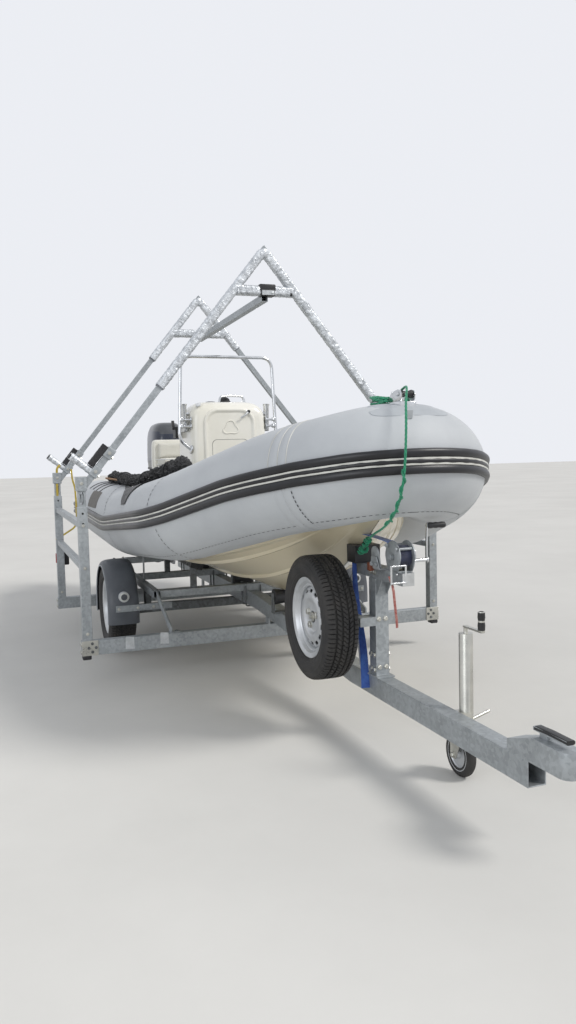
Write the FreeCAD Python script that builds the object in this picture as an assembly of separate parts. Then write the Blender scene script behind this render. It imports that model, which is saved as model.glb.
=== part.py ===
import FreeCAD
import Part
import math
import os

# Rigid inflatable boat standing on its road trailer, with a dinghy rack over it.
# Millimetres. +X points forward, to the bow and the coupling, +Y to port, +Z up.
# The ground is z = 0. Everything is laid out from the road axle and moved by
# AXLE_X at the end, so that the origin is under the middle of the whole length.

# Overall reach from the road axle
NOSE_REACH = 3990.0
TAIL_REACH = 2660.0
AXLE_X = (TAIL_REACH - NOSE_REACH) / 2.0

# Road wheels and axle
TYRE_D = 630.0
TYRE_W = 198.0
TREAD_W = 162.0
RIM_D = 390.0
RIM_W = 156.0
TRACK = 1812.0
HUB_D = 200.0
HUB_FACE = 22.0
STUB_D = 38.0
RUN_GAP = 0.05
AXLE_TUBE = 60.0
AXLE_WALL = 5.0
SWING_ARM = 130.0
GUARD_GAP = 28.0
GUARD_WALL = 5.0
GUARD_W = 222.0
REFLECTOR_D = 74.0
REFLECTOR_UP = 115.0
REFLECTOR_PROUD = 10.0
GUARD_DROP = 82.0
GUARD_SKIRT = 40.0

# Central spine and drawbar, a box section cranked down ahead of the axle
SPINE_W = 80.0
SPINE_H = 100.0
SPINE_WALL = 5.0
SPINE_REAR = -1780.0
CRANK_REAR = 700.0
CRANK_FRONT = 2280.0
SPINE_Z = 380.0
DRAWBAR_Z = 262.0
DRAWBAR_END = 3780.0

# Coupling head for a 50 mm tow ball
BALL_D = 50.0
BALL_GAP = 0.5
HEAD_W = 84.0
HEAD_H = 92.0
HEAD_L = 330.0

# Cross members and side rails
CROSS_X = (-1500.0, -420.0, 470.0)
CROSS_W = 60.0
CROSS_H = 50.0
CROSS_WALL = 4.0
RAIL_INSET = 206.0
RAIL_Y = TRACK / 2.0 - RAIL_INSET
RAIL_W = 50.0

# Keel rollers and bunks, each a seat gap under the hull
SEAT_GAP = 0.3
ROLLER_X = (-1640.0, -700.0, 250.0, 1180.0)
ROLLER_D = 90.0
ROLLER_L = 150.0
ROLLER_PIN = 20.0
ROLLER_GAP = 2.0
BUNK_Y = 430.0
BUNK_W = 90.0
BUNK_H = 45.0
BUNK_REAR = -1900.0
BUNK_FRONT = 620.0
BUNK_POST = 40.0

# Rack: beams under the chassis, posts beside the boat, two A frames above it
RACK_X = (933.0, -820.0)
RACK_BEAM_H = 90.0
RACK_BEAM_T = 60.0
RACK_BEAM_Z = 228.0
END_PLATE_T = 6.0
HANGER_Y = 28.0
HANGER_T = 12.0
POST_Y = 1235.0
POST_W = 60.0
POST_WALL = 4.0
POST_OUTER_TOP = 1115.0
INNER_W = 48.0
POST_TOP = 1248.0
INNER_WALL = 3.0
INNER_FOOT = 400.0
HOLE_D = 14.0
HOLE_UP = 24.0
HOLE_PITCH = 64.0
HOLE_COUNT = 2
SLEEVE_W = 66.0
SLEEVE_LOW = 1216.0
SLEEVE_HIGH = 1304.0
APEX_Z = 2756.0
FOOT_Z = 1222.0
LEG_W = 40.0
CROSSBAR_Z = (2492.0, 2462.0)
CROSSBAR_W = 44.0
SIDE_BAR_Z = (735.0, 1000.0)
SIDE_BAR_W = 40.0
COLLAR_W = 54.0
COLLAR_L = 70.0
COLLAR_AT = (142.0, 286.0)
PAD_W = 56.0
PAD_T = 40.0
PAD_GAP = 4.0
PAD_OVER = 25.0
ARM_L = 160.0
ARM_D = 46.0
LAMP_Z = 600.0

# Winch post, winch, snubber and spare wheel
WINCH_X = 2545.0
WINCH_POST_W = 70.0
ARM_Z = 800.0
ARM_H = 60.0
ARM_REAR = 2330.0
ARM_FRONT = 2850.0
DRUM_D = 96.0
DRUM_L = 70.0
CHEEK_D = 150.0
CHEEK_T = 5.0
SNUBBER_GAP = 0.5
SNUBBER_L = 100.0
SNUBBER_HALF = 70.0
SNUBBER_H = 90.0
SPARE_X = 2335.0
SPARE_Y = -222.0
SPARE_Z = 590.0
SPARE_ARM_W = 44.0

# Jockey wheel
JOCKEY_X = 3180.0
JOCKEY_Y = 92.0
JOCKEY_OD = 60.0
JOCKEY_STEM = 48.0
JOCKEY_WHEEL_D = 200.0
JOCKEY_WHEEL_W = 58.0
FORK_T = 5.0
FORK_TRAIL = 46.0
FORK_RISE = 12.0
JOCKEY_LOW = 230.0
JOCKEY_TOP = 640.0

# Boat: stations of the moulded hull, from stern to bow
TUBE_D = 520.0
TUBE_END = -2290.0
TUBE_CONE_L = 290.0
TUBE_CONE_D = 190.0
# x, keel z, half chine, chine z, half top, top z
HULL_STATIONS = (
    (-2150.0, 532.0, 640.0, 745.0, 700.0, 792.0),
    (300.0, 532.0, 640.0, 745.0, 700.0, 792.0),
    (1200.0, 540.0, 600.0, 800.0, 660.0, 850.0),
    (1750.0, 640.0, 480.0, 890.0, 560.0, 960.0),
    (2200.0, 835.0, 300.0, 1010.0, 400.0, 1080.0),
    (2620.0, 1120.0, 90.0, 1180.0, 180.0, 1215.0),
)
# Centre line of the starboard tube: x, half breadth, z
TUBE_LINE = (
    (TUBE_END, 690.0, 930.0),
    (-200.0, 706.0, 916.0),
    (1450.0, 708.0, 1062.0),
    (2360.0, 422.0, 1278.0),
    (2665.0, 236.0, 1340.0),
    (2785.0, 92.0, 1374.0),
)
STRAKE_H = 112.0
STRAKE_T = 18.0
DECK_T = 12.0
FLOOR_Z = HULL_STATIONS[0][5] + DECK_T
TRANSOM_X = -2150.0
TRANSOM_T = 60.0
TRANSOM_TOP = 1050.0
TRANSOM_HALF_LOW = 640.0
TRANSOM_HALF_TOP = 560.0

# Console, rail, wheel and seat
MOULDING_WALL = 12.0
CONSOLE_FRONT = 60.0
CONSOLE_DEPTH = 520.0
CONSOLE_HALF = 300.0
CONSOLE_TOP = 1830.0
CONSOLE_SHOULDER = 110.0
CONSOLE_CROWN = 50.0
PANEL_HALF = 205.0
PANEL_PROUD = 14.0
PANEL_FOOT = 120.0
PANEL_ARCH = 240.0
PANEL_TOP = 55.0
HOOP_FOOT = 1470.0
HOOP_BRACKET = 1640.0
HOOP_BEND = 90.0
HOOP_FOOT_BEND = 60.0
HOOP_HALF = 390.0
HOOP_TOP_HALF = 362.0
HOOP_TOP = 2170.0
HOOP_D = 25.0
WHEEL_D = 340.0
WHEEL_RIM = 26.0
WHEEL_TILT = 30.0
HELM_D = 26.0
WHEEL_X = -585.0
WHEEL_Z = 1715.0
SEAT_FRONT = -960.0
SEAT_REAR = -1400.0
SEAT_HALF = 345.0
SEAT_TOP = 1330.0
SEAT_BACK_FOOT = 95.0
SEAT_BACK_HEAD = 70.0
CUSHION_T = 70.0
BACK_TOP = 1570.0
THROTTLE_Z = 1560.0
THROTTLE_H = 90.0
LEVER_TOP = 1700.0

# Outboard engine
TILT_X = -2235.0
TILT_Z = TRANSOM_TOP + 35.0
STEER_X = -2300.0
COWL_X = -2375.0
COWL_L = 570.0
COWL_W = 330.0
COWL_BASE = TILT_Z + 205.0
COWL_H = 472.0
COWL_TOP = COWL_BASE + COWL_H
CLAMP_Y = 120.0
CLAMP_T = 28.0
CLAMP_DROP = 250.0
TILT_PIN_D = 28.0
STEER_PIN_D = 36.0
SHAFT_D = 22.0
SWIVEL_DROP = 285.0
LEG_X = -2375.0
PLATE_Z = 530.0
GEAR_Z = 352.0
GEAR_D = 105.0
PROP_X = -2560.0
PROP_D = 330.0
SKEG_Z = 196.0

# Rolled cover on top of the starboard tube: x, y, z of its middle line
COVER_D = 130.0
COVER_BEND = 3000.0
COVER_LINE = (
    (-1750.0, -650.0, 1233.0),
    (-200.0, -660.0, 1223.0),
    (1400.0, -664.0, 1365.0),
)

# Bow fittings and the bow rope
FAIRLEAD_X = 2790.0
ROPE_D = 12.0
HANK_L = 140.0
HANK_W = 110.0
HANK_H = 60.0
HANK_BACK = 75.0
HANK_SINK = 6.0
# Route of the rope from the fairlead down to the winch post: x, y, z
ROPE_ROUTE = (
    (2728.5, -10.0, 1652.0),
    (2786.0, -2.0, 1684.0),
    (2850.0, 0.0, 1709.0),
    (2920.0, -22.0, 1695.0),
    (2990.0, -58.0, 1636.0),
    (3058.0, -92.0, 1535.0),
    (3098.0, -118.0, 1412.0),
    (3092.0, -126.0, 1286.0),
    (3024.0, -116.0, 1176.0),
    (2904.0, -100.0, 1096.0),
    (2768.0, -82.0, 1050.0),
    (2640.0, -66.0, 1018.0),
    (2545.0, -56.0, 978.0),
    (2486.0, -50.0, 932.0),
    (2430.3, -50.0, 932.0),
)


def vec(x, y, z):
    return FreeCAD.Vector(x, y, z)


def box(x0, x1, y0, y1, z0, z1):
    return Part.makeBox(x1 - x0, y1 - y0, z1 - z0, vec(x0, y0, z0))


def cyl(base, axis, radius, length):
    return Part.makeCylinder(radius, length, base, axis)


def disc_y(x, y, z, radius, width):
    """A round slab on an axis along Y, centred on y."""
    return cyl(vec(x, y - width / 2.0, z), vec(0, 1, 0), radius, width)


def polygon(points):
    return Part.makePolygon([vec(*p) for p in points] + [vec(*points[0])])


def prism(points, along):
    return Part.Face(polygon(points)).extrude(vec(*along))


def both_sides(shape):
    """The shape and its mirror image in the centre plane, as one compound."""
    return Part.makeCompound([shape, shape.mirror(vec(0, 0, 0), vec(0, 1, 0))])


def fused(shapes):
    whole = shapes[0]
    for shape in shapes[1:]:
        whole = whole.fuse(shape)
    return whole.removeSplitter()


def aimed(shape, start, end, up=(0, 0, 1)):
    """Turns a shape made along +X from the origin so that it runs from start to end."""
    along = (vec(*end) - vec(*start)).normalize()
    turn = FreeCAD.Rotation(along, FreeCAD.Vector(), vec(*up), "XZY")
    copy = shape.copy()
    copy.Placement = FreeCAD.Placement(vec(*start), turn)
    return copy


def member(start, end, width, height, wall=0.0, up=(0, 0, 1)):
    """A straight rectangular bar or hollow section from start to end."""
    length = (vec(*end) - vec(*start)).Length
    bar = box(0, length, -width / 2, width / 2, -height / 2, height / 2)
    if wall:
        inner_w = width / 2 - wall
        inner_h = height / 2 - wall
        bar = bar.cut(box(-1, length + 1, -inner_w, inner_w, -inner_h, inner_h))
    return aimed(bar, start, end, up)


def rounded_route(points, radii):
    pts = [vec(*p) for p in points]
    edges = []
    here = pts[0]
    for i, radius in enumerate(radii):
        corner = pts[i + 1]
        back = (pts[i] - corner).normalize()
        ahead = (pts[i + 2] - corner).normalize()
        half = (math.pi - back.getAngle(ahead)) / 2.0
        reach = radius * math.tan(half)
        first = corner + back * reach
        last = corner + ahead * reach
        middle_dir = (back + ahead).normalize()
        middle = corner + middle_dir * (radius / math.cos(half) - radius)
        edges.append(Part.LineSegment(here, first).toShape())
        edges.append(Part.Arc(first, middle, last).toShape())
        here = last
    edges.append(Part.LineSegment(here, pts[-1]).toShape())
    return Part.Wire(edges)


def swept(route, diameter):
    start = route.Edges[0].Vertexes[0].Point
    along = route.Edges[0].tangentAt(route.Edges[0].FirstParameter)
    ring = Part.Wire(Part.makeCircle(diameter / 2.0, start, along))
    return route.makePipeShell([ring], True, True)


def cord_radii(points):
    """Arc radii of a cord: as large as the two runs at each point allow."""
    pts = [vec(*p) for p in points]
    radii = []
    for i in range(1, len(pts) - 1):
        back = pts[i - 1] - pts[i]
        ahead = pts[i + 1] - pts[i]
        half = (math.pi - back.getAngle(ahead)) / 2.0
        radii.append(0.45 * min(back.Length, ahead.Length) / math.tan(half))
    return radii


def half_space(point, along):
    """A block that fills the side of a plane that along points to."""
    reach = 3000.0
    block = box(0, reach, -reach / 2, reach / 2, -reach / 2, reach / 2)
    return aimed(block, point, vec(*point) + along)


def mitred(points, make_run, overrun):
    """Straight runs between points, made long and cut in the mitre planes, as one solid."""
    pts = [vec(*p) for p in points]
    ways = [(b - a).normalize() for a, b in zip(pts, pts[1:])]
    runs = []
    for i, way in enumerate(ways):
        before = overrun if i > 0 else 0.0
        after = overrun if i < len(ways) - 1 else 0.0
        length = (pts[i + 1] - pts[i]).Length + before + after
        run = make_run(pts[i] - way * before, way, length)
        if i > 0:
            run = run.common(half_space(pts[i], (ways[i - 1] + way).normalize()))
        if i < len(ways) - 1:
            run = run.cut(half_space(pts[i + 1], (way + ways[i + 1]).normalize()))
        runs.append(run)
    return runs


# Trailer frame


def crank_band(height, x0, x1):
    """Side outline of the cranked spine, as tall as height, between two ends."""
    line = ((x0, SPINE_Z), (CRANK_REAR, SPINE_Z), (CRANK_FRONT, DRAWBAR_Z), (x1, DRAWBAR_Z))
    slope = math.atan2(SPINE_Z - DRAWBAR_Z, CRANK_FRONT - CRANK_REAR)
    lean = math.tan(slope / 2.0) * height / 2.0
    top = [
        (line[0][0], line[0][1] + height / 2),
        (line[1][0] + lean, line[1][1] + height / 2),
        (line[2][0] + lean, line[2][1] + height / 2),
        (line[3][0], line[3][1] + height / 2),
    ]
    bottom = [
        (line[3][0], line[3][1] - height / 2),
        (line[2][0] - lean, line[2][1] - height / 2),
        (line[1][0] - lean, line[1][1] - height / 2),
        (line[0][0], line[0][1] - height / 2),
    ]
    return top + bottom


def spine_block():
    outer = crank_band(SPINE_H, SPINE_REAR, DRAWBAR_END)
    return prism([(x, -SPINE_W / 2, z) for x, z in outer], (0, SPINE_W, 0))


def spine():
    inner = crank_band(SPINE_H - 2 * SPINE_WALL, SPINE_REAR - 1, DRAWBAR_END + 1)
    solid = spine_block()
    core_w = SPINE_W - 2 * SPINE_WALL
    core = prism([(x, -core_w / 2, z) for x, z in inner], (0, core_w, 0))
    return solid.cut(core)


def coupling():
    top = DRAWBAR_Z + SPINE_H / 2
    end = NOSE_REACH - HEAD_W / 2
    start = NOSE_REACH - HEAD_L
    bottom = top
    body = box(start, end, -HEAD_W / 2, HEAD_W / 2, bottom, bottom + HEAD_H)
    nose = cyl(vec(end, 0, bottom), vec(0, 0, 1), HEAD_W / 2, HEAD_H)
    head = body.fuse(nose)
    slope = prism(
        [(start - 1, -HEAD_W, bottom + HEAD_H * 0.5), (start - 1, -HEAD_W, bottom + HEAD_H + 1),
         (start + 150, -HEAD_W, bottom + HEAD_H + 1)], (0, 2 * HEAD_W, 0))
    head = head.cut(slope)
    radius = BALL_D / 2 + BALL_GAP
    centre_z = bottom + 18.0
    socket = Part.makeSphere(radius, vec(end, 0, centre_z))
    throat = cyl(vec(end, 0, bottom - 1), vec(0, 0, 1), radius, centre_z - bottom + 1)
    head = head.cut(socket).cut(throat)
    grip = member((start + 120, 0, bottom + HEAD_H + 26), (end + 10, 0, bottom + HEAD_H + 26), 34, 14)
    stem = box(start + 150, start + 190, -12, 12, bottom + HEAD_H - 8, bottom + HEAD_H + 22)
    return fused([head, grip, stem])


def cross_members():
    top = SPINE_Z + SPINE_H / 2
    half = RAIL_Y - RAIL_W / 2
    bars = []
    for x in CROSS_X:
        z = top + CROSS_H / 2
        bars.append(member((x, -half, z), (x, half, z), CROSS_W, CROSS_H, CROSS_WALL))
    return Part.makeCompound(bars)


def side_rails():
    z = SPINE_Z + SPINE_H / 2 + CROSS_H / 2
    start = (CROSS_X[0] - CROSS_W / 2, RAIL_Y, z)
    end = (CROSS_X[-1] + CROSS_W / 2, RAIL_Y, z)
    rail = member(start, end, RAIL_W, CROSS_H, CROSS_WALL)
    front = RACK_X[0] - RACK_BEAM_T / 2
    low = RACK_BEAM_Z + RACK_BEAM_H / 2
    brace = prism(
        [(CROSS_X[-1] + CROSS_W / 2, RAIL_Y - 6, z - CROSS_H / 2),
         (CROSS_X[-1] + CROSS_W / 2, RAIL_Y - 6, z + CROSS_H / 2),
         (front + 40, RAIL_Y - 6, low + 40), (front + 40, RAIL_Y - 6, low),
         (front, RAIL_Y - 6, low)], (0, 12, 0))
    return both_sides(rail.fuse(brace))


def axle():
    """Rubber suspension axle: square tube under the spine, trailing arms and stubs."""
    half = TRACK / 2 - TYRE_W / 2 - 40
    beam_x = SWING_ARM
    beam_z = SPINE_Z - SPINE_H / 2 - AXLE_TUBE / 2
    tube = member((beam_x, -half, beam_z), (beam_x, half, beam_z), AXLE_TUBE, AXLE_TUBE, AXLE_WALL)
    saddles = []
    for sign in (-1, 1):
        y = sign * RAIL_Y
        top = SPINE_Z + SPINE_H / 2
        saddles.append(box(beam_x - 45, beam_x + 45, y - 20, y + 20, beam_z + AXLE_TUBE / 2, top))
    arms = []
    for sign in (-1, 1):
        y = sign * (half + 14)
        arms.append(member((beam_x + 35, y, beam_z), (-35, y, TYRE_D / 2), 28, 70))
        stub = TRACK / 2 - 16 - abs(y)
        arms.append(cyl(vec(0, y, TYRE_D / 2), vec(0, sign, 0), STUB_D / 2, stub))
    return fused([tube] + saddles + arms)


def wheel_tyre(x, y, z):
    """A tyre as one turned ring, with its rounded shoulders and seat."""
    radius = TYRE_D / 2
    shoulder = 26.0
    profile = [
        (RIM_D / 2 - 8, -RIM_W / 2 + 8), (RIM_D / 2 + 8.5, -RIM_W / 2 + 8),
        (RIM_D / 2 + 12, -RIM_W / 2), (RIM_D / 2 + 38, -TYRE_W / 2 + 3),
        (radius - 60, -TYRE_W / 2), (radius - shoulder, -TREAD_W / 2 - 4),
        (radius - 8, -TREAD_W / 2), (radius, -TREAD_W / 2 + 14),
    ]
    ring = profile + [(r, -w) for r, w in reversed(profile)]
    face = Part.Face(polygon([(0, w, r) for r, w in ring]))
    tyre = face.revolve(vec(0, 0, 0), vec(0, 1, 0), 360)
    tyre.translate(vec(x, y, z))
    return tyre


def wheel_rim(x, y, z, side):
    """A pressed rim: a barrel with flanges and a dished disc with vent slots."""
    outer = RIM_D / 2
    barrel = [
        (outer - 8.6, -RIM_W / 2 + 8), (outer + 8, -RIM_W / 2 + 7), (outer + 8, -RIM_W / 2),
        (outer - 14, -RIM_W / 2), (outer - 38, -RIM_W / 2 + 40), (outer - 38, RIM_W / 2 - 40),
        (outer - 14, RIM_W / 2), (outer + 8, RIM_W / 2), (outer + 8, RIM_W / 2 - 7),
        (outer - 8.6, RIM_W / 2 - 8), (outer - 32, RIM_W / 2 - 36), (outer - 32, -RIM_W / 2 + 36),
    ]
    disc = [
        (32, HUB_FACE), (32, HUB_FACE + 8), (72, HUB_FACE + 8), (92, HUB_FACE + 22),
        (112, HUB_FACE + 22), (outer - 39, HUB_FACE + 4), (outer - 39, HUB_FACE - 4),
        (112, HUB_FACE + 14), (92, HUB_FACE + 14), (72, HUB_FACE)]
    solids = []
    for outline in (barrel, disc):
        face = Part.Face(polygon([(0, side * w, r) for r, w in outline]))
        solids.append(face.revolve(vec(0, 0, 0), vec(0, 1, 0), 360))
    ring = cyl(vec(0, -40, 0), vec(0, 1, 0), outer - 37, 80)
    ring = ring.cut(cyl(vec(0, -41, 0), vec(0, 1, 0), outer - 42, 82))
    rim = fused([solids[0], ring, solids[1]])
    for i in range(12):
        angle = math.radians(30 * i)
        slot = cyl(vec(112 * math.sin(angle), -60, 112 * math.cos(angle)), vec(0, 1, 0), 15, 120)
        rim = rim.cut(slot)
    rim.translate(vec(x, y, z))
    return rim


def hub(y, side):
    """Brake drum and hub cap behind the disc of a rim."""
    z = TYRE_D / 2
    face_y = y + side * HUB_FACE
    drum = disc_y(0, face_y - side * 32, z, HUB_D / 2, 64)
    cap = disc_y(0, face_y + side * 15, z, 31.9, 44)
    bore = disc_y(0, y - side * 65, z, STUB_D / 2 + RUN_GAP, 100)
    return drum.fuse(cap).cut(bore)


def mudguards():
    y = TRACK / 2
    inner = TYRE_D / 2 + GUARD_GAP
    outer = inner + GUARD_WALL
    z = TYRE_D / 2
    band = disc_y(0, y, z, outer, GUARD_W).cut(disc_y(0, y, z, inner, GUARD_W + 2))
    lip = disc_y(0, y + GUARD_W / 2 - 4, z, outer, 8).cut(
        disc_y(0, y + GUARD_W / 2 - 4, z, inner - 34, 10))
    guard = band.fuse(lip)
    low = z - GUARD_SKIRT
    keep = box(-outer - 5, outer + 5, y - GUARD_W, y + GUARD_W, low, z + outer + 5)
    guard = guard.common(keep)
    skirt = box(-outer, -inner, y - GUARD_W / 2, y + GUARD_W / 2, z - GUARD_DROP, low)
    apron = box(inner, outer, y - GUARD_W / 2, y + GUARD_W / 2, z - GUARD_DROP, low)
    return both_sides(fused([guard, skirt, apron]))


def guard_brackets():
    y = TRACK / 2
    outer = TYRE_D / 2 + GUARD_GAP + GUARD_WALL
    rail_face = RAIL_Y + RAIL_W / 2
    z = TYRE_D / 2
    parts = []
    for sign in (-1, 1):
        x = sign * (outer + 3)
        parts.append(box(min(x - 3, x + 3), max(x - 3, x + 3), rail_face - 160, y + 60, z + 10, z + 55))
    top = box(-25, 25, rail_face - 30, y - GUARD_W / 2 + 40, z + outer, z + outer + 5)
    stay = box(-25, 25, rail_face - 30, rail_face - 25, SPINE_Z + SPINE_H / 2 + CROSS_H, z + outer)
    parts.append(top.fuse(stay))
    return both_sides(Part.makeCompound(parts))


def guard_reflectors():
    outer = TYRE_D / 2 + GUARD_GAP + GUARD_WALL
    z = TYRE_D / 2 + REFLECTOR_UP
    top = REFLECTOR_UP + REFLECTOR_D / 2
    face = math.sqrt(outer ** 2 - (REFLECTOR_UP - REFLECTOR_D / 2) ** 2) + REFLECTOR_PROUD
    back = math.sqrt(outer ** 2 - top ** 2) - 1
    lens = cyl(vec(back, TRACK / 2, z), vec(1, 0, 0), REFLECTOR_D / 2, face - back)
    guard = disc_y(0, TRACK / 2, TYRE_D / 2, outer, GUARD_W)
    return both_sides(lens.cut(guard))


def roller_height(x):
    """Height of the keel above the ground at a place along the boat."""
    for near, far in zip(HULL_STATIONS, HULL_STATIONS[1:]):
        if near[0] <= x <= far[0]:
            share = (x - near[0]) / (far[0] - near[0])
            return near[1] + share * (far[1] - near[1])
    return HULL_STATIONS[0][1]


def spine_top(x):
    if x <= CRANK_REAR:
        return SPINE_Z + SPINE_H / 2
    if x >= CRANK_FRONT:
        return DRAWBAR_Z + SPINE_H / 2
    share = (x - CRANK_REAR) / (CRANK_FRONT - CRANK_REAR)
    return SPINE_Z + SPINE_H / 2 - share * (SPINE_Z - DRAWBAR_Z)


def keel_rollers():
    rollers = []
    for x in ROLLER_X:
        z = roller_height(x) - ROLLER_D / 2 - SEAT_GAP
        waist = ROLLER_D / 2 - 9
        half = ROLLER_L / 2
        outline = [
            (ROLLER_PIN / 2, -half), (ROLLER_D / 2 + 6, -half), (waist + 9, -12), (waist + 9, 12),
            (ROLLER_D / 2 + 6, half), (ROLLER_PIN / 2, half)]
        face = Part.Face(polygon([(0, w, r) for r, w in outline]))
        roller = face.revolve(vec(0, 0, 0), vec(0, 1, 0), 360)
        roller.translate(vec(x, 0, z))
        rollers.append(roller)
    return Part.makeCompound(rollers)


def roller_brackets():
    brackets = []
    half = ROLLER_L / 2 + ROLLER_GAP
    for x in ROLLER_X:
        z = roller_height(x) - ROLLER_D / 2 - SEAT_GAP
        base = spine_top(x)
        plate = box(x - 30, x + 30, -half - 6, half + 6, base - 8, base + 4)
        ears = [box(x - 25, x + 25, s * half - 6 * (s < 0), s * half + 6 * (s > 0), base - 8, z + 25)
                for s in (-1, 1)]
        pin = cyl(vec(x, -half - 6, z), vec(0, 1, 0), ROLLER_PIN / 2, 2 * half + 12)
        bracket = fused([plate, ears[0], ears[1], pin]).cut(spine_block())
        brackets.append(bracket)
    return Part.makeCompound(brackets)


def hull_height(x, y):
    """Height of the hull bottom at a place along and across the boat."""
    for near, far in zip(HULL_STATIONS, HULL_STATIONS[1:]):
        if near[0] <= x <= far[0]:
            share = (x - near[0]) / (far[0] - near[0])
            row = [a + share * (b - a) for a, b in zip(near, far)]
            return row[1] + y / row[2] * (row[3] - row[1])
    return 0.0


def bunks():
    slope = math.degrees(math.atan2(
        HULL_STATIONS[0][3] - HULL_STATIONS[0][1], HULL_STATIONS[0][2]))
    top = hull_height(0.0, BUNK_Y) - SEAT_GAP / math.cos(math.radians(slope))
    plank = box(BUNK_REAR, BUNK_FRONT, -BUNK_W / 2, BUNK_W / 2, -BUNK_H, 0)
    plank = plank.makeFillet(8, [e for e in plank.Edges if abs(e.tangentAt(0).x) > 0.9])
    plank.rotate(vec(0, 0, 0), vec(1, 0, 0), slope)
    plank.translate(vec(0, BUNK_Y, top))
    return both_sides(plank)


def bunk_posts():
    base = SPINE_Z + SPINE_H / 2 + CROSS_H
    top = hull_height(0.0, BUNK_Y) - BUNK_H - 12
    posts = []
    for x in CROSS_X:
        posts.append(box(x - BUNK_POST / 2, x + BUNK_POST / 2,
                         BUNK_Y - BUNK_POST / 2, BUNK_Y + BUNK_POST / 2, base, top + 60))
    plank = bunks().Solids
    shaped = [p.cut(max(plank, key=lambda s: s.BoundBox.Center.y)) for p in posts]
    return both_sides(Part.makeCompound([max(s.Solids, key=lambda k: -k.BoundBox.ZMin) for s in shaped]))


# Rack over the boat


def leg_direction():
    length = math.hypot(POST_Y, APEX_Z - FOOT_Z)
    return POST_Y / length, (APEX_Z - FOOT_Z) / length


def on_leg(x, side, distance):
    """A point on a leg's centre line, measured up the slope from its foot."""
    across, rise = leg_direction()
    return (x, side * (POST_Y - distance * across), FOOT_Z + distance * rise)


def rack_beams():
    """Cross beams below the spine, with end plates and hangers."""
    parts = []
    reach = POST_Y + POST_W / 2
    low = RACK_BEAM_Z - RACK_BEAM_H / 2
    high = RACK_BEAM_Z + RACK_BEAM_H / 2
    half = RACK_BEAM_T / 2
    for x in RACK_X:
        ends = ((x, -reach, RACK_BEAM_Z), (x, reach, RACK_BEAM_Z))
        parts.append(member(ends[0], ends[1], RACK_BEAM_T, RACK_BEAM_H, POST_WALL))
        plate = box(x - half, x + half, reach, reach + END_PLATE_T, low, high)
        parts.append(plate)
        parts.append(plate.mirror(vec(0, 0, 0), vec(0, 1, 0)))
        hanger = box(x - half, x + half, HANGER_Y, HANGER_Y + HANGER_T, high, spine_top(x) - SPINE_H / 2)
        parts.append(hanger)
        parts.append(hanger.mirror(vec(0, 0, 0), vec(0, 1, 0)))
    return fused(parts).cut(spine_block())


def upright(x, low, high, width, wall=0.0):
    """A square upright bar or tube on the line of the port posts."""
    return member((x, POST_Y, low), (x, POST_Y, high), width, width, wall, (1, 0, 0))


def rack_posts():
    posts = []
    base = RACK_BEAM_Z + RACK_BEAM_H / 2
    for x in RACK_X:
        outer = upright(x, base, POST_OUTER_TOP, POST_W, POST_WALL)
        inner = upright(x, base + INNER_FOOT, POST_TOP, INNER_W, INNER_WALL)
        for i in range(HOLE_COUNT):
            z = POST_OUTER_TOP + HOLE_UP + HOLE_PITCH * i
            inner = inner.cut(cyl(vec(x - INNER_W, POST_Y, z), vec(1, 0, 0), HOLE_D / 2, 2 * INNER_W))
        ring = upright(x, POST_OUTER_TOP - 6, POST_OUTER_TOP, POST_W)
        ring = ring.cut(box(x - INNER_W / 2, x + INNER_W / 2, POST_Y - INNER_W / 2, POST_Y + INNER_W / 2,
                            POST_OUTER_TOP - 8, POST_OUTER_TOP + 2))
        posts.append(fused([outer, ring, inner]))
    return both_sides(Part.makeCompound(posts))


def post_sleeves():
    """Closed square sleeve on each post's top, with the leg welded to its inner side."""
    sleeves = []
    for x in RACK_X:
        body = upright(x, SLEEVE_LOW, SLEEVE_HIGH, SLEEVE_W)
        body = body.cut(box(x - INNER_W / 2, x + INNER_W / 2, POST_Y - INNER_W / 2,
                            POST_Y + INNER_W / 2, SLEEVE_LOW - 10, POST_TOP))
        sleeves.append(body)
    return both_sides(Part.makeCompound(sleeves))


def rack_legs():
    """Two A frames: legs mitred at the apex, with a cross bar below it."""
    frames = []
    sleeve_face = POST_Y - SLEEVE_W / 2
    for x, z in zip(RACK_X, CROSSBAR_Z):
        legs = []
        for side in (-1, 1):
            start = on_leg(x, side, 0)
            apex = (x, -side * 60, APEX_Z + 60 * (APEX_Z - FOOT_Z) / POST_Y)
            leg = member(start, apex, LEG_W, LEG_W, 0, (1, 0, 0))
            near, far = sorted((0, side * sleeve_face))
            limit = box(x - LEG_W, x + LEG_W, near, far, FOOT_Z - LEG_W, APEX_Z + LEG_W)
            legs.append(leg.common(limit))
        half = POST_Y * (APEX_Z - z) / (APEX_Z - FOOT_Z)
        bar = member((x, -half, z), (x, half, z), CROSSBAR_W, CROSSBAR_W)
        frames.append(fused(legs + [bar]))
    return Part.makeCompound(frames)


def ridge_bar():
    front, rear = RACK_X
    front_z, rear_z = [z - CROSSBAR_W for z in CROSSBAR_Z]
    bar = member((rear, 0, rear_z), (front, 0, front_z), CROSSBAR_W, CROSSBAR_W, INNER_WALL)
    return bar.cut(rack_legs())


def side_bars():
    front, rear = RACK_X
    bars = []
    for z in SIDE_BAR_Z:
        bars.append(member((rear + POST_W / 2, POST_Y, z), (front - POST_W / 2, POST_Y, z),
                           SIDE_BAR_W, SIDE_BAR_W, INNER_WALL))
    return both_sides(Part.makeCompound(bars))


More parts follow.
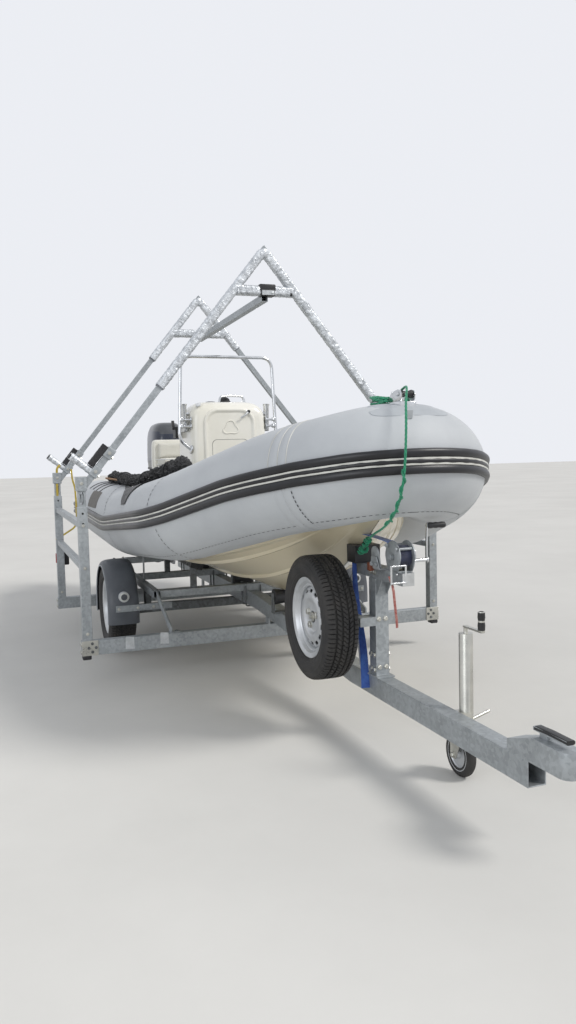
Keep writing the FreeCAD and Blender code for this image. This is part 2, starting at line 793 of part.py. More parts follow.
def leg_collars():
    collars = []
    for x in RACK_X:
        for at in COLLAR_AT:
            start = on_leg(x, 1, at - COLLAR_L / 2)
            end = on_leg(x, 1, at + COLLAR_L / 2)
            ring = member(start, end, COLLAR_W, COLLAR_W, 0, (1, 0, 0))
            core = member(on_leg(x, 1, at - 80), on_leg(x, 1, at + 80), LEG_W, LEG_W, 0, (1, 0, 0))
            ring = ring.cut(core)
            collars.append(ring)
    return both_sides(Part.makeCompound(collars))


def leg_pads():
    """Foam block across the outer faces of each pair of collars, above the arm."""
    across, rise = leg_direction()
    lift = COLLAR_W / 2 + PAD_T / 2
    pads = []
    for x in RACK_X:
        start = on_leg(x, 1, arm_place() + ARM_D / 2 + PAD_GAP)
        end = on_leg(x, 1, COLLAR_AT[1] + PAD_OVER)
        start = (x, start[1] + lift * rise, start[2] + lift * across)
        end = (x, end[1] + lift * rise, end[2] + lift * across)
        pads.append(member(start, end, PAD_T, PAD_W, 0, (1, 0, 0)))
    return both_sides(Part.makeCompound(pads))


def arm_place():
    """How far up the leg the padded arm stands, flush with its collar's lower end."""
    return COLLAR_AT[0] - COLLAR_L / 2 + ARM_D / 2


def leg_arms():
    """Padded arm on each lower collar, square to the leg and pointing out and up."""
    across, rise = leg_direction()
    arms = []
    for x in RACK_X:
        base = on_leg(x, 1, arm_place())
        start = vec(x, base[1] + COLLAR_W / 2 * rise, base[2] + COLLAR_W / 2 * across)
        arms.append(cyl(start, vec(0, rise, across), ARM_D / 2, ARM_L))
    return both_sides(Part.makeCompound(arms))


def tail_lamps():
    x = RACK_X[1] - POST_W / 2
    case = box(x - 45, x, POST_Y - 70, POST_Y + 30, LAMP_Z - 60, LAMP_Z + 60)
    return both_sides(case)


# Winch post, winch, snubber, spare wheel and jockey wheel


def winch_post():
    base = DRAWBAR_Z + SPINE_H / 2
    post = member((WINCH_X, 0, base), (WINCH_X, 0, ARM_Z), WINCH_POST_W, WINCH_POST_W, 4, (1, 0, 0))
    arm = member((ARM_REAR, 0, ARM_Z + ARM_H / 2), (ARM_FRONT, 0, ARM_Z + ARM_H / 2), 60, ARM_H, 4)
    foot = box(WINCH_X - 70, WINCH_X + 70, -SPINE_W / 2 - 8, SPINE_W / 2 + 8, base, base + 8)
    return fused([post, arm, foot])


def winch():
    x = ARM_FRONT - 75
    z = ARM_Z + ARM_H + CHEEK_D / 2 - 6
    parts = []
    for sign in (-1, 1):
        y = sign * (DRUM_L / 2 + CHEEK_T / 2)
        parts.append(disc_y(x, y, z, CHEEK_D / 2, CHEEK_T))
        parts.append(box(x - 45, x + 45, y - CHEEK_T / 2, y + CHEEK_T / 2, ARM_Z + ARM_H, z))
    parts.append(disc_y(x, 0, z, DRUM_D / 2, DRUM_L))
    parts.append(box(x - 45, x + 45, -DRUM_L / 2 - CHEEK_T, DRUM_L / 2 + CHEEK_T,
                     ARM_Z + ARM_H, ARM_Z + ARM_H + 5))
    parts.append(disc_y(x + 30, DRUM_L / 2 + 45, z - 20, 9, 90))
    crank = box(x + 24, x + 36, DRUM_L / 2 + 82, DRUM_L / 2 + 90, z - 25, z + 150)
    parts.append(crank)
    parts.append(disc_y(x + 30, DRUM_L / 2 + 135, z + 140, 15, 106))
    return fused(parts)


def snubber():
    """V block of black rubber that takes the stem, on the rear end of the arm."""
    z = ARM_Z + ARM_H
    x = ARM_REAR
    block = box(x, x + SNUBBER_L, -SNUBBER_HALF, SNUBBER_HALF, z, z + SNUBBER_H)
    stem = hull_body()
    stem.translate(vec(SNUBBER_GAP, 0, 0))
    return max(block.cut(stem).Solids, key=lambda s: s.Volume)


def spare_bracket():
    """Arm from the winch post to the spare wheel's disc."""
    x = SPARE_X
    face = SPARE_Y - HUB_FACE
    clear = SPARE_Y + TYRE_W / 2 + 5
    plate = disc_y(x, face + 5, SPARE_Z, 70, 10)
    half = SPARE_ARM_W / 2
    low = SPARE_Z - half
    high = SPARE_Z + half
    spigot = box(x - half, x + half, face + 5, clear + 40, low, high)
    post_rear = WINCH_X - WINCH_POST_W / 2
    arm = box(x - half, post_rear + WINCH_POST_W, clear, clear + 40, low, high)
    tie = box(post_rear, post_rear + WINCH_POST_W, clear, -WINCH_POST_W / 2, low, high)
    return fused([plate, spigot, arm, tie])


def jockey_tube():
    """Clamp on the drawbar and the fixed outer tube, with its winding handle."""
    x, y = JOCKEY_X, JOCKEY_Y
    tube = cyl(vec(x, y, JOCKEY_LOW), vec(0, 0, 1), JOCKEY_OD / 2, JOCKEY_TOP - JOCKEY_LOW)
    bore = JOCKEY_STEM / 2 + RUN_GAP
    tube = tube.cut(cyl(vec(x, y, JOCKEY_LOW - 1), vec(0, 0, 1), bore, JOCKEY_TOP - JOCKEY_LOW - 19))
    clamp = box(x - 35, x + 35, SPINE_W / 2, y, DRAWBAR_Z - 32, DRAWBAR_Z + 40)
    clamp = clamp.cut(cyl(vec(x, y, 0), vec(0, 0, 1), JOCKEY_OD / 2 - 1, 1000))
    spindle = cyl(vec(x, y, JOCKEY_TOP), vec(0, 0, 1), 9, 30)
    crank = box(x - 9, x + 130, y - 9, y + 9, JOCKEY_TOP + 24, JOCKEY_TOP + 32)
    knob = cyl(vec(x + 118, y, JOCKEY_TOP + 32), vec(0, 0, 1), 14, 80)
    lever = cyl(vec(x, y + JOCKEY_OD / 2 - 2, DRAWBAR_Z), vec(0, 1, 0.3), 7, 90)
    return fused([tube, clamp, spindle, crank, knob, lever])


def jockey_stem():
    """Inner tube that the handle winds down, with the swivel pin of the fork."""
    base = JOCKEY_WHEEL_D + FORK_RISE + 1
    stem = cyl(vec(JOCKEY_X, JOCKEY_Y, base), vec(0, 0, 1), JOCKEY_STEM / 2, JOCKEY_TOP - 30 - base)
    pin = cyl(vec(JOCKEY_X, JOCKEY_Y, base - 1 - 12), vec(0, 0, 1), 9, 14)
    return stem.fuse(pin)


def jockey_fork():
    """Fork that swivels under the stem and trails the wheel."""
    axle_z = JOCKEY_WHEEL_D / 2
    crown = JOCKEY_WHEEL_D + FORK_RISE
    half = JOCKEY_WHEEL_W / 2 + 6
    rear = JOCKEY_X - FORK_TRAIL
    plate = box(rear - 26, JOCKEY_X + 28, JOCKEY_Y - half - FORK_T, JOCKEY_Y + half + FORK_T,
                crown - 6, crown)
    plate = plate.cut(cyl(vec(JOCKEY_X, JOCKEY_Y, crown - 20), vec(0, 0, 1), 9 + RUN_GAP, 40))
    sides = []
    for inner in (JOCKEY_Y + half, JOCKEY_Y - half - FORK_T):
        outline = [
            (JOCKEY_X + 28, inner, crown), (rear - 26, inner, crown),
            (rear - 20, inner, axle_z - 16), (rear + 20, inner, axle_z - 16)]
        sides.append(prism(outline, (0, FORK_T, 0)))
    pin = cyl(vec(rear, JOCKEY_Y - half - FORK_T, axle_z), vec(0, 1, 0), 8, 2 * (half + FORK_T))
    return fused([plate, pin] + sides)


def jockey_wheel():
    x = JOCKEY_X - FORK_TRAIL
    z = JOCKEY_WHEEL_D / 2
    half = JOCKEY_WHEEL_W / 2
    radius = JOCKEY_WHEEL_D / 2
    outline = [
        (8 + RUN_GAP, -half), (34, -half), (36, -half + 9),
        (radius - 26, -half + 9), (radius - 8, -half + 12),
        (radius, -half + 20), (radius, half - 20), (radius - 8, half - 12), (radius - 26, half - 9),
        (36, half - 9), (34, half), (8 + RUN_GAP, half)]
    face = Part.Face(polygon([(0, w, r) for r, w in outline]))
    wheel = face.revolve(vec(0, 0, 0), vec(0, 1, 0), 360)
    wheel.translate(vec(x, JOCKEY_Y, z))
    return wheel


# Boat


def tube_points():
    starboard = [(x, -y, z) for x, y, z in TUBE_LINE]
    port = [(x, y, z) for x, y, z in reversed(TUBE_LINE)]
    return starboard + port


def collar():
    """The inflated tube: straight lengths mitred together, with cones at the stern."""
    points = tube_points()
    runs = mitred(points, lambda at, way, length: cyl(at, way, TUBE_D / 2, length), TUBE_D / 2)
    for sign in (-1, 1):
        x, y, z = TUBE_LINE[0]
        nxt = TUBE_LINE[1]
        along = (vec(x, sign * y, z) - vec(nxt[0], sign * nxt[1], nxt[2])).normalize()
        cone = Part.makeCone(TUBE_D / 2, TUBE_CONE_D / 2, TUBE_CONE_L, vec(x, sign * y, z), along)
        runs.append(cone)
    whole = runs[0]
    for run in runs[1:]:
        whole = whole.fuse(run)
    return whole


def strake_run(at, way, length):
    outward = way.cross(vec(0, 0, 1)).normalize()
    up = outward.cross(way).normalize()
    inner = TUBE_D / 2
    outer = inner + STRAKE_T
    lift = STRAKE_H / 2
    deep = math.sqrt(inner ** 2 - lift ** 2)
    corners = (
        at + outward * deep + up * lift,
        at + outward * (outer - 6) + up * lift,
        at + outward * outer + up * (lift - 8),
        at + outward * outer - up * (lift - 8),
        at + outward * (outer - 6) - up * lift,
        at + outward * deep - up * lift,
    )
    edges = [Part.LineSegment(a, b).toShape() for a, b in zip(corners, corners[1:])]
    edges.append(Part.Arc(corners[-1], at + outward * inner, corners[0]).toShape())
    return Part.Face(Part.Wire(edges)).extrude(way * length)


def strake():
    """Black rubbing band that follows the widest line of the collar."""
    runs = mitred(tube_points(), strake_run, TUBE_D / 2)
    whole = runs[0]
    for run in runs[1:]:
        whole = whole.fuse(run)
    return whole


def hull_section(row):
    x, keel, half_chine, chine, half_top, top = row
    outline = [
        (x, 0, keel), (x, half_chine, chine), (x, half_top, top),
        (x, -half_top, top), (x, -half_chine, chine)]
    return polygon(outline)


def hull_body():
    sections = [hull_section(row) for row in HULL_STATIONS]
    return Part.makeLoft(sections, True, True)


def hull(tube):
    return max(hull_body().cut(tube).Solids, key=lambda s: s.Volume)


def deck(tube):
    """Cockpit floor on the hull's top, between the tubes."""
    slabs = []
    for near, far in zip(HULL_STATIONS, HULL_STATIONS[1:]):
        rows = []
        for x, _, _, _, half, top in (near, far):
            width = half - 20
            rows.append(polygon([(x, -width, top), (x, width, top),
                                 (x, width, top + DECK_T), (x, -width, top + DECK_T)]))
        slabs.append(Part.makeLoft(rows, True, True))
    floor = fused(slabs).cut(tube)
    return max(floor.Solids, key=lambda s: s.Volume)


def transom(tube):
    x = TRANSOM_X
    low = TRANSOM_HALF_LOW
    high = TRANSOM_HALF_TOP
    outline = [
        (x, -low, FLOOR_Z), (x, low, FLOOR_Z), (x, high, TRANSOM_TOP), (x, -high, TRANSOM_TOP)]
    board = prism(outline, (TRANSOM_T, 0, 0))
    board = board.cut(tube)
    return max(board.Solids, key=lambda s: s.Volume)


def moulding(outline, half, radius, picked):
    """A closed moulding across the boat, with rounded edges."""
    outer = prism([(x, -half, z) for x, z in outline], (0, 2 * half, 0))
    return outer.makeFillet(radius, [e for e in outer.Edges if picked(e)])


def console_outline():
    """Side outline of the console, from the foot in front over the top to the rear."""
    rear = CONSOLE_FRONT - CONSOLE_DEPTH
    return (
        (CONSOLE_FRONT, FLOOR_Z), (CONSOLE_FRONT - 30, CONSOLE_TOP - 60),
        (CONSOLE_FRONT - 90, CONSOLE_TOP), (rear + 190, CONSOLE_TOP - 10),
        (rear + 20, CONSOLE_TOP - 210), (rear, FLOOR_Z))


def console_core():
    """The hollow of the console, open at the bottom."""
    middle = CONSOLE_FRONT - CONSOLE_DEPTH / 2
    half = CONSOLE_HALF - MOULDING_WALL
    points = []
    for x, z in console_outline():
        inset = -MOULDING_WALL if x > middle else MOULDING_WALL
        low = FLOOR_Z - 1 if z == FLOOR_Z else z - CONSOLE_CROWN
        points.append((x + inset, -half, low))
    return prism(points, (0, 2 * half, 0))


def console_block():
    """Moulded pod with rounded shoulders and a raised arched panel in front."""
    pod = prism([(x, -CONSOLE_HALF, z) for x, z in console_outline()], (0, 2 * CONSOLE_HALF, 0))
    rear = CONSOLE_FRONT - CONSOLE_DEPTH
    front = box(rear - 20, CONSOLE_FRONT + 20, -CONSOLE_HALF, CONSOLE_HALF, FLOOR_Z, CONSOLE_TOP)
    shoulders = [e for e in front.Edges if e.BoundBox.XLength > 1 and e.BoundBox.ZMin > CONSOLE_TOP - 1]
    pod = pod.common(front.makeFillet(CONSOLE_SHOULDER, shoulders))
    low = FLOOR_Z + PANEL_FOOT
    high = CONSOLE_TOP - PANEL_ARCH
    face = CONSOLE_FRONT - 60
    depth = 60 + PANEL_PROUD
    panel = box(face, face + depth, -PANEL_HALF, PANEL_HALF, low, high)
    arch = cyl(vec(face, 0, high), vec(1, 0, 0), PANEL_HALF, depth)
    arch = arch.common(box(-1000, 1000, -PANEL_HALF, PANEL_HALF, 0, CONSOLE_TOP - PANEL_TOP))
    return fused([pod, panel, arch])


def console():
    return console_block().cut(console_core())


def console_rail():
    """Stainless hoop round the console, with side feet and two brackets."""
    x = CONSOLE_FRONT - 60
    low = HOOP_FOOT
    route = (
        (x, -CONSOLE_HALF - 6, low), (x, -HOOP_HALF, low + 70), (x, -HOOP_TOP_HALF, HOOP_TOP),
        (x, HOOP_TOP_HALF, HOOP_TOP), (x, HOOP_HALF, low + 70), (x, CONSOLE_HALF + 6, low))
    path = rounded_route(route, (HOOP_FOOT_BEND, HOOP_BEND, HOOP_BEND, HOOP_FOOT_BEND))
    hoop = swept(path, HOOP_D)
    feet = []
    for sign in (-1, 1):
        feet.append(cyl(vec(x, sign * CONSOLE_HALF, low), vec(0, sign, 0.4), 22, 10))
        stay = vec(x, sign * CONSOLE_HALF, HOOP_BRACKET)
        feet.append(cyl(stay, vec(0, sign, 0), 10, HOOP_HALF - CONSOLE_HALF))
    return fused([hoop] + feet).cut(console_block())


def steering_wheel():
    rim = Part.makeTorus(WHEEL_D / 2 - WHEEL_RIM / 2, WHEEL_RIM / 2)
    parts = [rim, cyl(vec(0, 0, -20), vec(0, 0, 1), 44, 30)]
    for i in range(3):
        angle = math.radians(90 + 120 * i)
        reach = WHEEL_D / 2 - WHEEL_RIM / 2
        end = (math.cos(angle) * reach, math.sin(angle) * reach, 0)
        parts.append(member((0, 0, -6), end, 30, 8))
    parts.append(cyl(vec(0, 0, -94), vec(0, 0, 1), HELM_D / 2, 80))
    wheel = fused(parts)
    wheel.rotate(vec(0, 0, 0), vec(0, 1, 0), -90 + WHEEL_TILT)
    wheel.translate(vec(WHEEL_X, 0, WHEEL_Z))
    return wheel


def helm_boss():
    """Boss that carries the steering wheel on the dash."""
    tilt = math.radians(WHEEL_TILT)
    along = vec(math.cos(tilt), 0, -math.sin(tilt))
    start = vec(WHEEL_X, 0, WHEEL_Z) + along * 64
    boss = cyl(start, along, 42, 150).cut(cyl(start, along, HELM_D / 2 + RUN_GAP, 34))
    return max(boss.cut(console_block()).Solids, key=lambda s: s.Volume)


def throttle():
    """Throttle box and lever on the starboard side of the console."""
    x = CONSOLE_FRONT - CONSOLE_DEPTH + 60
    y = -CONSOLE_HALF - 25
    top = THROTTLE_Z + THROTTLE_H
    case = box(x, x + 90, y - 25, y + 25, THROTTLE_Z, top)
    lever = member((x + 45, y - 30, top - 20), (x + 20, y - 30, LEVER_TOP), 12, 22, 0, (0, 1, 0))
    return case.fuse(lever)


def seat_pod():
    """Moulded seat with a low back, hollow from below."""
    outline = [
        (SEAT_FRONT, FLOOR_Z), (SEAT_FRONT, SEAT_TOP), (SEAT_REAR + SEAT_BACK_FOOT, SEAT_TOP),
        (SEAT_REAR + SEAT_BACK_HEAD, BACK_TOP), (SEAT_REAR, BACK_TOP), (SEAT_REAR, FLOOR_Z)]
    pod = moulding(outline, SEAT_HALF, 20,
                   lambda e: e.BoundBox.YLength > 1 and e.BoundBox.ZMin > BACK_TOP - 1)
    w = MOULDING_WALL
    core = box(SEAT_REAR + w, SEAT_FRONT - w, -SEAT_HALF + w, SEAT_HALF - w, FLOOR_Z - 1, SEAT_TOP - w)
    return pod.cut(core)


def seat_cushion():
    """Upholstered pad on the seat."""
    half = SEAT_HALF - 15
    start = SEAT_REAR + SEAT_BACK_FOOT + 10
    seat = box(start, SEAT_FRONT + 10, -half, half, SEAT_TOP, SEAT_TOP + CUSHION_T)
    return seat.makeFillet(20, [e for e in seat.Edges if e.BoundBox.ZMin > SEAT_TOP + 1])


# Outboard engine


def engine_clamp():
    """Clamp bracket that hangs on the transom and carries the tilt pin."""
    x = TRANSOM_X
    parts = []
    for sign in (-1, 1):
        y0 = sign * CLAMP_Y - CLAMP_T / 2
        outline = [
            (x, y0, TRANSOM_TOP - CLAMP_DROP), (x, y0, TRANSOM_TOP), (x + TRANSOM_T, y0, TRANSOM_TOP),
            (x + TRANSOM_T, y0, TRANSOM_TOP - 110), (x + TRANSOM_T + 22, y0, TRANSOM_TOP - 110),
            (x + TRANSOM_T + 22, y0, TRANSOM_TOP + 30), (TILT_X + 30, y0, TILT_Z + 32),
            (TILT_X - 30, y0, TILT_Z + 32), (TILT_X - 32, y0, TILT_Z - 30),
            (x - 40, y0, TRANSOM_TOP - CLAMP_DROP)]
        parts.append(prism(outline, (0, CLAMP_T, 0)))
    pin_half = CLAMP_Y + CLAMP_T / 2
    pin = cyl(vec(TILT_X, -pin_half, TILT_Z), vec(0, 1, 0), TILT_PIN_D / 2, 2 * pin_half)
    return fused(parts + [pin])


def engine_swivel():
    """Bracket that tilts on the pin and holds the upright steering tube."""
    bore = disc_y(TILT_X, 0, TILT_Z, TILT_PIN_D / 2 + RUN_GAP, 204)
    knuckle = disc_y(TILT_X, 0, TILT_Z, 30, 200).cut(bore)
    low = TILT_Z - SWIVEL_DROP
    tube = cyl(vec(STEER_X, 0, low), vec(0, 0, 1), 36, TILT_Z + 60 - low)
    web = box(STEER_X, TILT_X, -45, 45, TILT_Z - 120, TILT_Z + 20)
    body = fused([knuckle, tube, web.cut(bore)])
    return body.cut(cyl(vec(STEER_X, 0, low - 100), vec(0, 0, 1), STEER_PIN_D / 2 + RUN_GAP, 600))


def engine_leg():
    """Midsection, gear case, plates and skeg, with the upright steering pin."""
    low = TILT_Z - SWIVEL_DROP
    pin = cyl(vec(STEER_X, 0, low - 30), vec(0, 0, 1), STEER_PIN_D / 2, COWL_BASE - low - 30)
    top_arm = box(LEG_X - 60, STEER_X + 30, -70, 70, TILT_Z + 66, COWL_BASE - 60)
    low_arm = box(LEG_X - 40, STEER_X + 26, -34, 34, low - 60, low - 6)
    sections = []
    rows = ((PLATE_Z, 165.0, 34.0, 0.0), (low - 40, 150.0, 46.0, 0.0),
            (TILT_Z - 85, 150.0, 56.0, -10.0), (COWL_BASE - 60, 210.0, 90.0, -30.0))
    for z, half_l, half_w, dx in rows:
        x = LEG_X - 40 + dx
        sections.append(polygon([
            (x + half_l * 0.42, 0, z), (x + half_l * 0.3, half_w, z), (x - half_l * 0.55, half_w, z),
            (x - half_l, 0, z), (x - half_l * 0.55, -half_w, z), (x + half_l * 0.3, -half_w, z)]))
    mid = Part.makeLoft(sections, True, True)
    pan = box(COWL_X - COWL_L / 2 + 60, COWL_X + COWL_L / 2 - 50, -COWL_W / 2 + 45, COWL_W / 2 - 45,
              COWL_BASE - 60, COWL_BASE)
    plate = prism([
        (LEG_X + 60, -40, PLATE_Z), (LEG_X - 20, -95, PLATE_Z), (LEG_X - 260, -95, PLATE_Z),
        (LEG_X - 260, 95, PLATE_Z), (LEG_X - 20, 95, PLATE_Z), (LEG_X + 60, 40, PLATE_Z)], (0, 0, 9))
    strut = prism([
        (LEG_X + 20, -17, GEAR_Z), (LEG_X + 35, -17, PLATE_Z + 5), (LEG_X - 112, -17, PLATE_Z + 5),
        (LEG_X - 112, -17, GEAR_Z)], (0, 34, 0))
    case = cyl(vec(PROP_X + 70, 0, GEAR_Z), vec(1, 0, 0), GEAR_D / 2, 260)
    nose = Part.makeCone(GEAR_D / 2, 14, 110, vec(PROP_X + 330, 0, GEAR_Z), vec(1, 0, 0))
    skeg = prism([
        (LEG_X + 40, -6, GEAR_Z - 30), (LEG_X - 60, -6, SKEG_Z), (LEG_X - 130, -6, SKEG_Z),
        (LEG_X - 110, -6, GEAR_Z - 30)], (0, 12, 0))
    shaft = cyl(vec(PROP_X - 50, 0, GEAR_Z), vec(1, 0, 0), SHAFT_D / 2, 140)
    return fused([mid, top_arm, low_arm, pin, pan, plate, strut, case, nose, skeg, shaft])


def engine_cowl():
    rows = (
        (COWL_BASE, 0.96, 0.94, 0.0), (COWL_BASE + 90, 1.0, 1.0, 0.0),
        (COWL_TOP - 170, 0.99, 0.98, 0.0), (COWL_TOP - 50, 0.90, 0.88, -6.0), (COWL_TOP, 0.70, 0.66, -20.0))
    sections = []
    for z, long_share, wide_share, dx in rows:
        half_l = COWL_L / 2 * long_share
        half_w = COWL_W / 2 * wide_share
        x = COWL_X + dx
        cut = 55 * wide_share
        sections.append(polygon([
            (x + half_l, half_w - cut, z), (x + half_l - cut, half_w, z), (x - half_l + cut, half_w, z),
            (x - half_l, half_w - cut, z), (x - half_l, -half_w + cut, z), (x - half_l + cut, -half_w, z),
            (x + half_l - cut, -half_w, z), (x + half_l, -half_w + cut, z)]))
    return Part.makeLoft(sections, True, True)


def propeller():
    boss = cyl(vec(PROP_X - 40, 0, GEAR_Z), vec(1, 0, 0), 42, 106)
    blades = []
    for i in range(3):
        blade = box(-9, 9, -60, 60, 30, PROP_D / 2)
        round_tip = cyl(vec(-20, 0, PROP_D / 2 - 72), vec(1, 0, 0), 72, 40)
        blade = blade.common(round_tip.fuse(box(-20, 20, -60, 60, 20, PROP_D / 2 - 60)))
        blade.rotate(vec(0, 0, 0), vec(0, 0, 1), 32)
        blade.rotate(vec(0, 0, 0), vec(1, 0, 0), 120 * i)
        blade.translate(vec(PROP_X + 10, 0, GEAR_Z))
        blades.append(blade)
    whole = fused([boss] + blades)
    return whole.cut(cyl(vec(PROP_X - 100, 0, GEAR_Z), vec(1, 0, 0), SHAFT_D / 2 + RUN_GAP, 200))


# Bow


def bow_fairlead(tube):
    top = TUBE_LINE[-1][2] + TUBE_D / 2
    x = FAIRLEAD_X
    base = box(x - 60, x + 80, -42, 42, top - 24, top + 6)
    ears = [box(x - 35, x + 85, s * 34 - 3, s * 34 + 3, top, top + 62) for s in (-1, 1)]
    roller = disc_y(x + 55, 0, top + 40, 16, 66)
    return max(fused([base, roller] + ears).cut(tube).Solids, key=lambda s: s.Volume)


def bow_rope():
    route = rounded_route(ROPE_ROUTE, cord_radii(ROPE_ROUTE))
    rope = swept(route, ROPE_D)
    ideal = math.pi * (ROPE_D / 2) ** 2 * route.Length
    print("rope length", round(route.Length), "volume ratio", round(rope.Volume / ideal, 4))
    return rope


def rope_hank(tube):
    """Coiled rest of the bow rope, lying on the collar behind the fairlead."""
    top = TUBE_LINE[-1][2] + TUBE_D / 2
    hank = box(-HANK_L / 2, HANK_L / 2, -HANK_W / 2, HANK_W / 2, -HANK_H / 2, HANK_H / 2)
    hank = hank.makeFillet(20, [e for e in hank.Edges if abs(e.BoundBox.ZLength) > HANK_H - 1])
    hank.translate(vec(FAIRLEAD_X - HANK_BACK - HANK_L / 2, -30, top - HANK_SINK))
    return max(hank.cut(tube).Solids, key=lambda s: s.Volume)


def rolled_cover(tube):
    """Cover rolled up along the top of the starboard tube."""
    roll = swept(rounded_route(COVER_LINE, (COVER_BEND,)), COVER_D)
    return max(roll.cut(tube).Solids, key=lambda s: s.Volume)


def build():
    tube = collar()
    y_wheel = TRACK / 2
    z_wheel = TYRE_D / 2
    parts = {
        "spine": spine(),
        "coupling": coupling(),
        "cross_members": cross_members(),
        "side_rails": side_rails(),
        "axle": axle(),
        "tyre_left": wheel_tyre(0, y_wheel, z_wheel),
        "tyre_right": wheel_tyre(0, -y_wheel, z_wheel),
        "rim_left": wheel_rim(0, y_wheel, z_wheel, 1).fuse(hub(y_wheel, 1)),
        "rim_right": wheel_rim(0, -y_wheel, z_wheel, -1).fuse(hub(-y_wheel, -1)),
        "mudguards": mudguards(),
        "guard_brackets": guard_brackets(),
        "guard_reflectors": guard_reflectors(),
        "keel_rollers": keel_rollers(),
        "roller_brackets": roller_brackets(),
        "bunks": bunks(),
        "bunk_posts": bunk_posts(),
        "rack_beams": rack_beams(),
        "rack_posts": rack_posts(),
        "post_sleeves": post_sleeves(),
        "rack_legs": rack_legs(),
        "ridge_bar": ridge_bar(),
        "side_bars": side_bars(),
        "leg_collars": leg_collars(),
        "leg_pads": leg_pads(),
        "leg_arms": leg_arms(),
        "tail_lamps": tail_lamps(),
        "winch_post": winch_post(),
        "winch": winch(),
        "snubber": snubber(),
        "spare_tyre": wheel_tyre(SPARE_X, SPARE_Y, SPARE_Z),
        "spare_rim": wheel_rim(SPARE_X, SPARE_Y, SPARE_Z, -1),
        "spare_bracket": spare_bracket(),
        "jockey_tube": jockey_tube(),
        "jockey_stem": jockey_stem(),
        "jockey_fork": jockey_fork(),
        "jockey_wheel": jockey_wheel(),
        "hull": hull(tube),
        "deck": deck(tube),
        "transom": transom(tube),
        "collar": tube,
        "rubbing_strake": strake(),
        "console": console(),
        "console_rail": console_rail(),
        "steering_wheel": steering_wheel(),
        "helm_boss": helm_boss(),
        "throttle": throttle(),
        "seat_pod": seat_pod(),
        "seat_cushion": seat_cushion(),
        "engine_clamp": engine_clamp(),
        "engine_swivel": engine_swivel(),
        "engine_leg": engine_leg(),
        "engine_cowl": engine_cowl(),
        "propeller": propeller(),
        "bow_fairlead": bow_fairlead(tube),
        "bow_rope": bow_rope(),
        "rope_hank": rope_hank(tube),
        "rolled_cover": rolled_cover(tube),
    }
    return parts


os.makedirs("parts", exist_ok=True)
total = FreeCAD.BoundBox()
for name, shape in build().items():
    shape.translate(vec(AXLE_X, 0, 0))
    solids = shape.Solids
    if not shape.isValid() or not solids:
        print("NOT VALID", name, len(solids))
    total.add(shape.BoundBox)
    shape.exportStep("parts/" + name + ".step")
print("x", round(total.XMin, 1), round(total.XMax, 1))
print("y", round(total.YMin, 1), round(total.YMax, 1))
print("z", round(total.ZMin, 1), round(total.ZMax, 1))
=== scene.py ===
import bpy
import bmesh
from math import atan2, ceil, copysign, cos, hypot, pi, radians, sin, sqrt, tau
from mathutils import Matrix, Vector, noise
from mathutils.bvhtree import BVHTree


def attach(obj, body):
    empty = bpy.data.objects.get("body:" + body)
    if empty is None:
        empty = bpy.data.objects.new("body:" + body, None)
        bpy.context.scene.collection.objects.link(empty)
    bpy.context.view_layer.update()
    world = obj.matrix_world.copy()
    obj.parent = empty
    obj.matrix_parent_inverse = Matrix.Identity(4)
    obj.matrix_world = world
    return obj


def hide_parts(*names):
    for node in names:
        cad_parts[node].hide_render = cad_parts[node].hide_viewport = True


# Inflatable boat on its trailer. Shapes are drawn in millimetres with x = 0 at the
# road axle, as in the part's source, and make() turns them into the frame's metres.

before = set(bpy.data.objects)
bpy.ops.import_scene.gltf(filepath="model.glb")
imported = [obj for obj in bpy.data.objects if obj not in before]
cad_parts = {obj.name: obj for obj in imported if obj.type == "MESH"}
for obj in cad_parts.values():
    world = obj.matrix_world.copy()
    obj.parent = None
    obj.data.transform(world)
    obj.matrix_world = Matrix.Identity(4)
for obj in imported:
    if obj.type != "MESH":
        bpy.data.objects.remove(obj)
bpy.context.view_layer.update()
ROOT = "boat_and_trailer"
AXLE_X = -665.0
UP = Vector((0, 0, 1))
FORE, AFT, PORT = (1, 0, 0), (-1, 0, 0), (0, 1, 0)


def V(x, y, z):
    return Vector((x, y, z))


def metres(p):
    return Vector(((p[0] + AXLE_X) / 1000, p[1] / 1000, p[2] / 1000))


def linked(name, data):
    obj = bpy.data.objects.new(name, data)
    bpy.context.scene.collection.objects.link(obj)
    return obj


# Materials


def srgb(r, g, b):
    """Screen colour, 0 to 255, as linear RGBA."""
    share = [c / 255 for c in (r, g, b)]
    return (*[c / 12.92 if c <= 0.04045 else ((c + 0.055) / 1.055) ** 2.4 for c in share], 1.0)


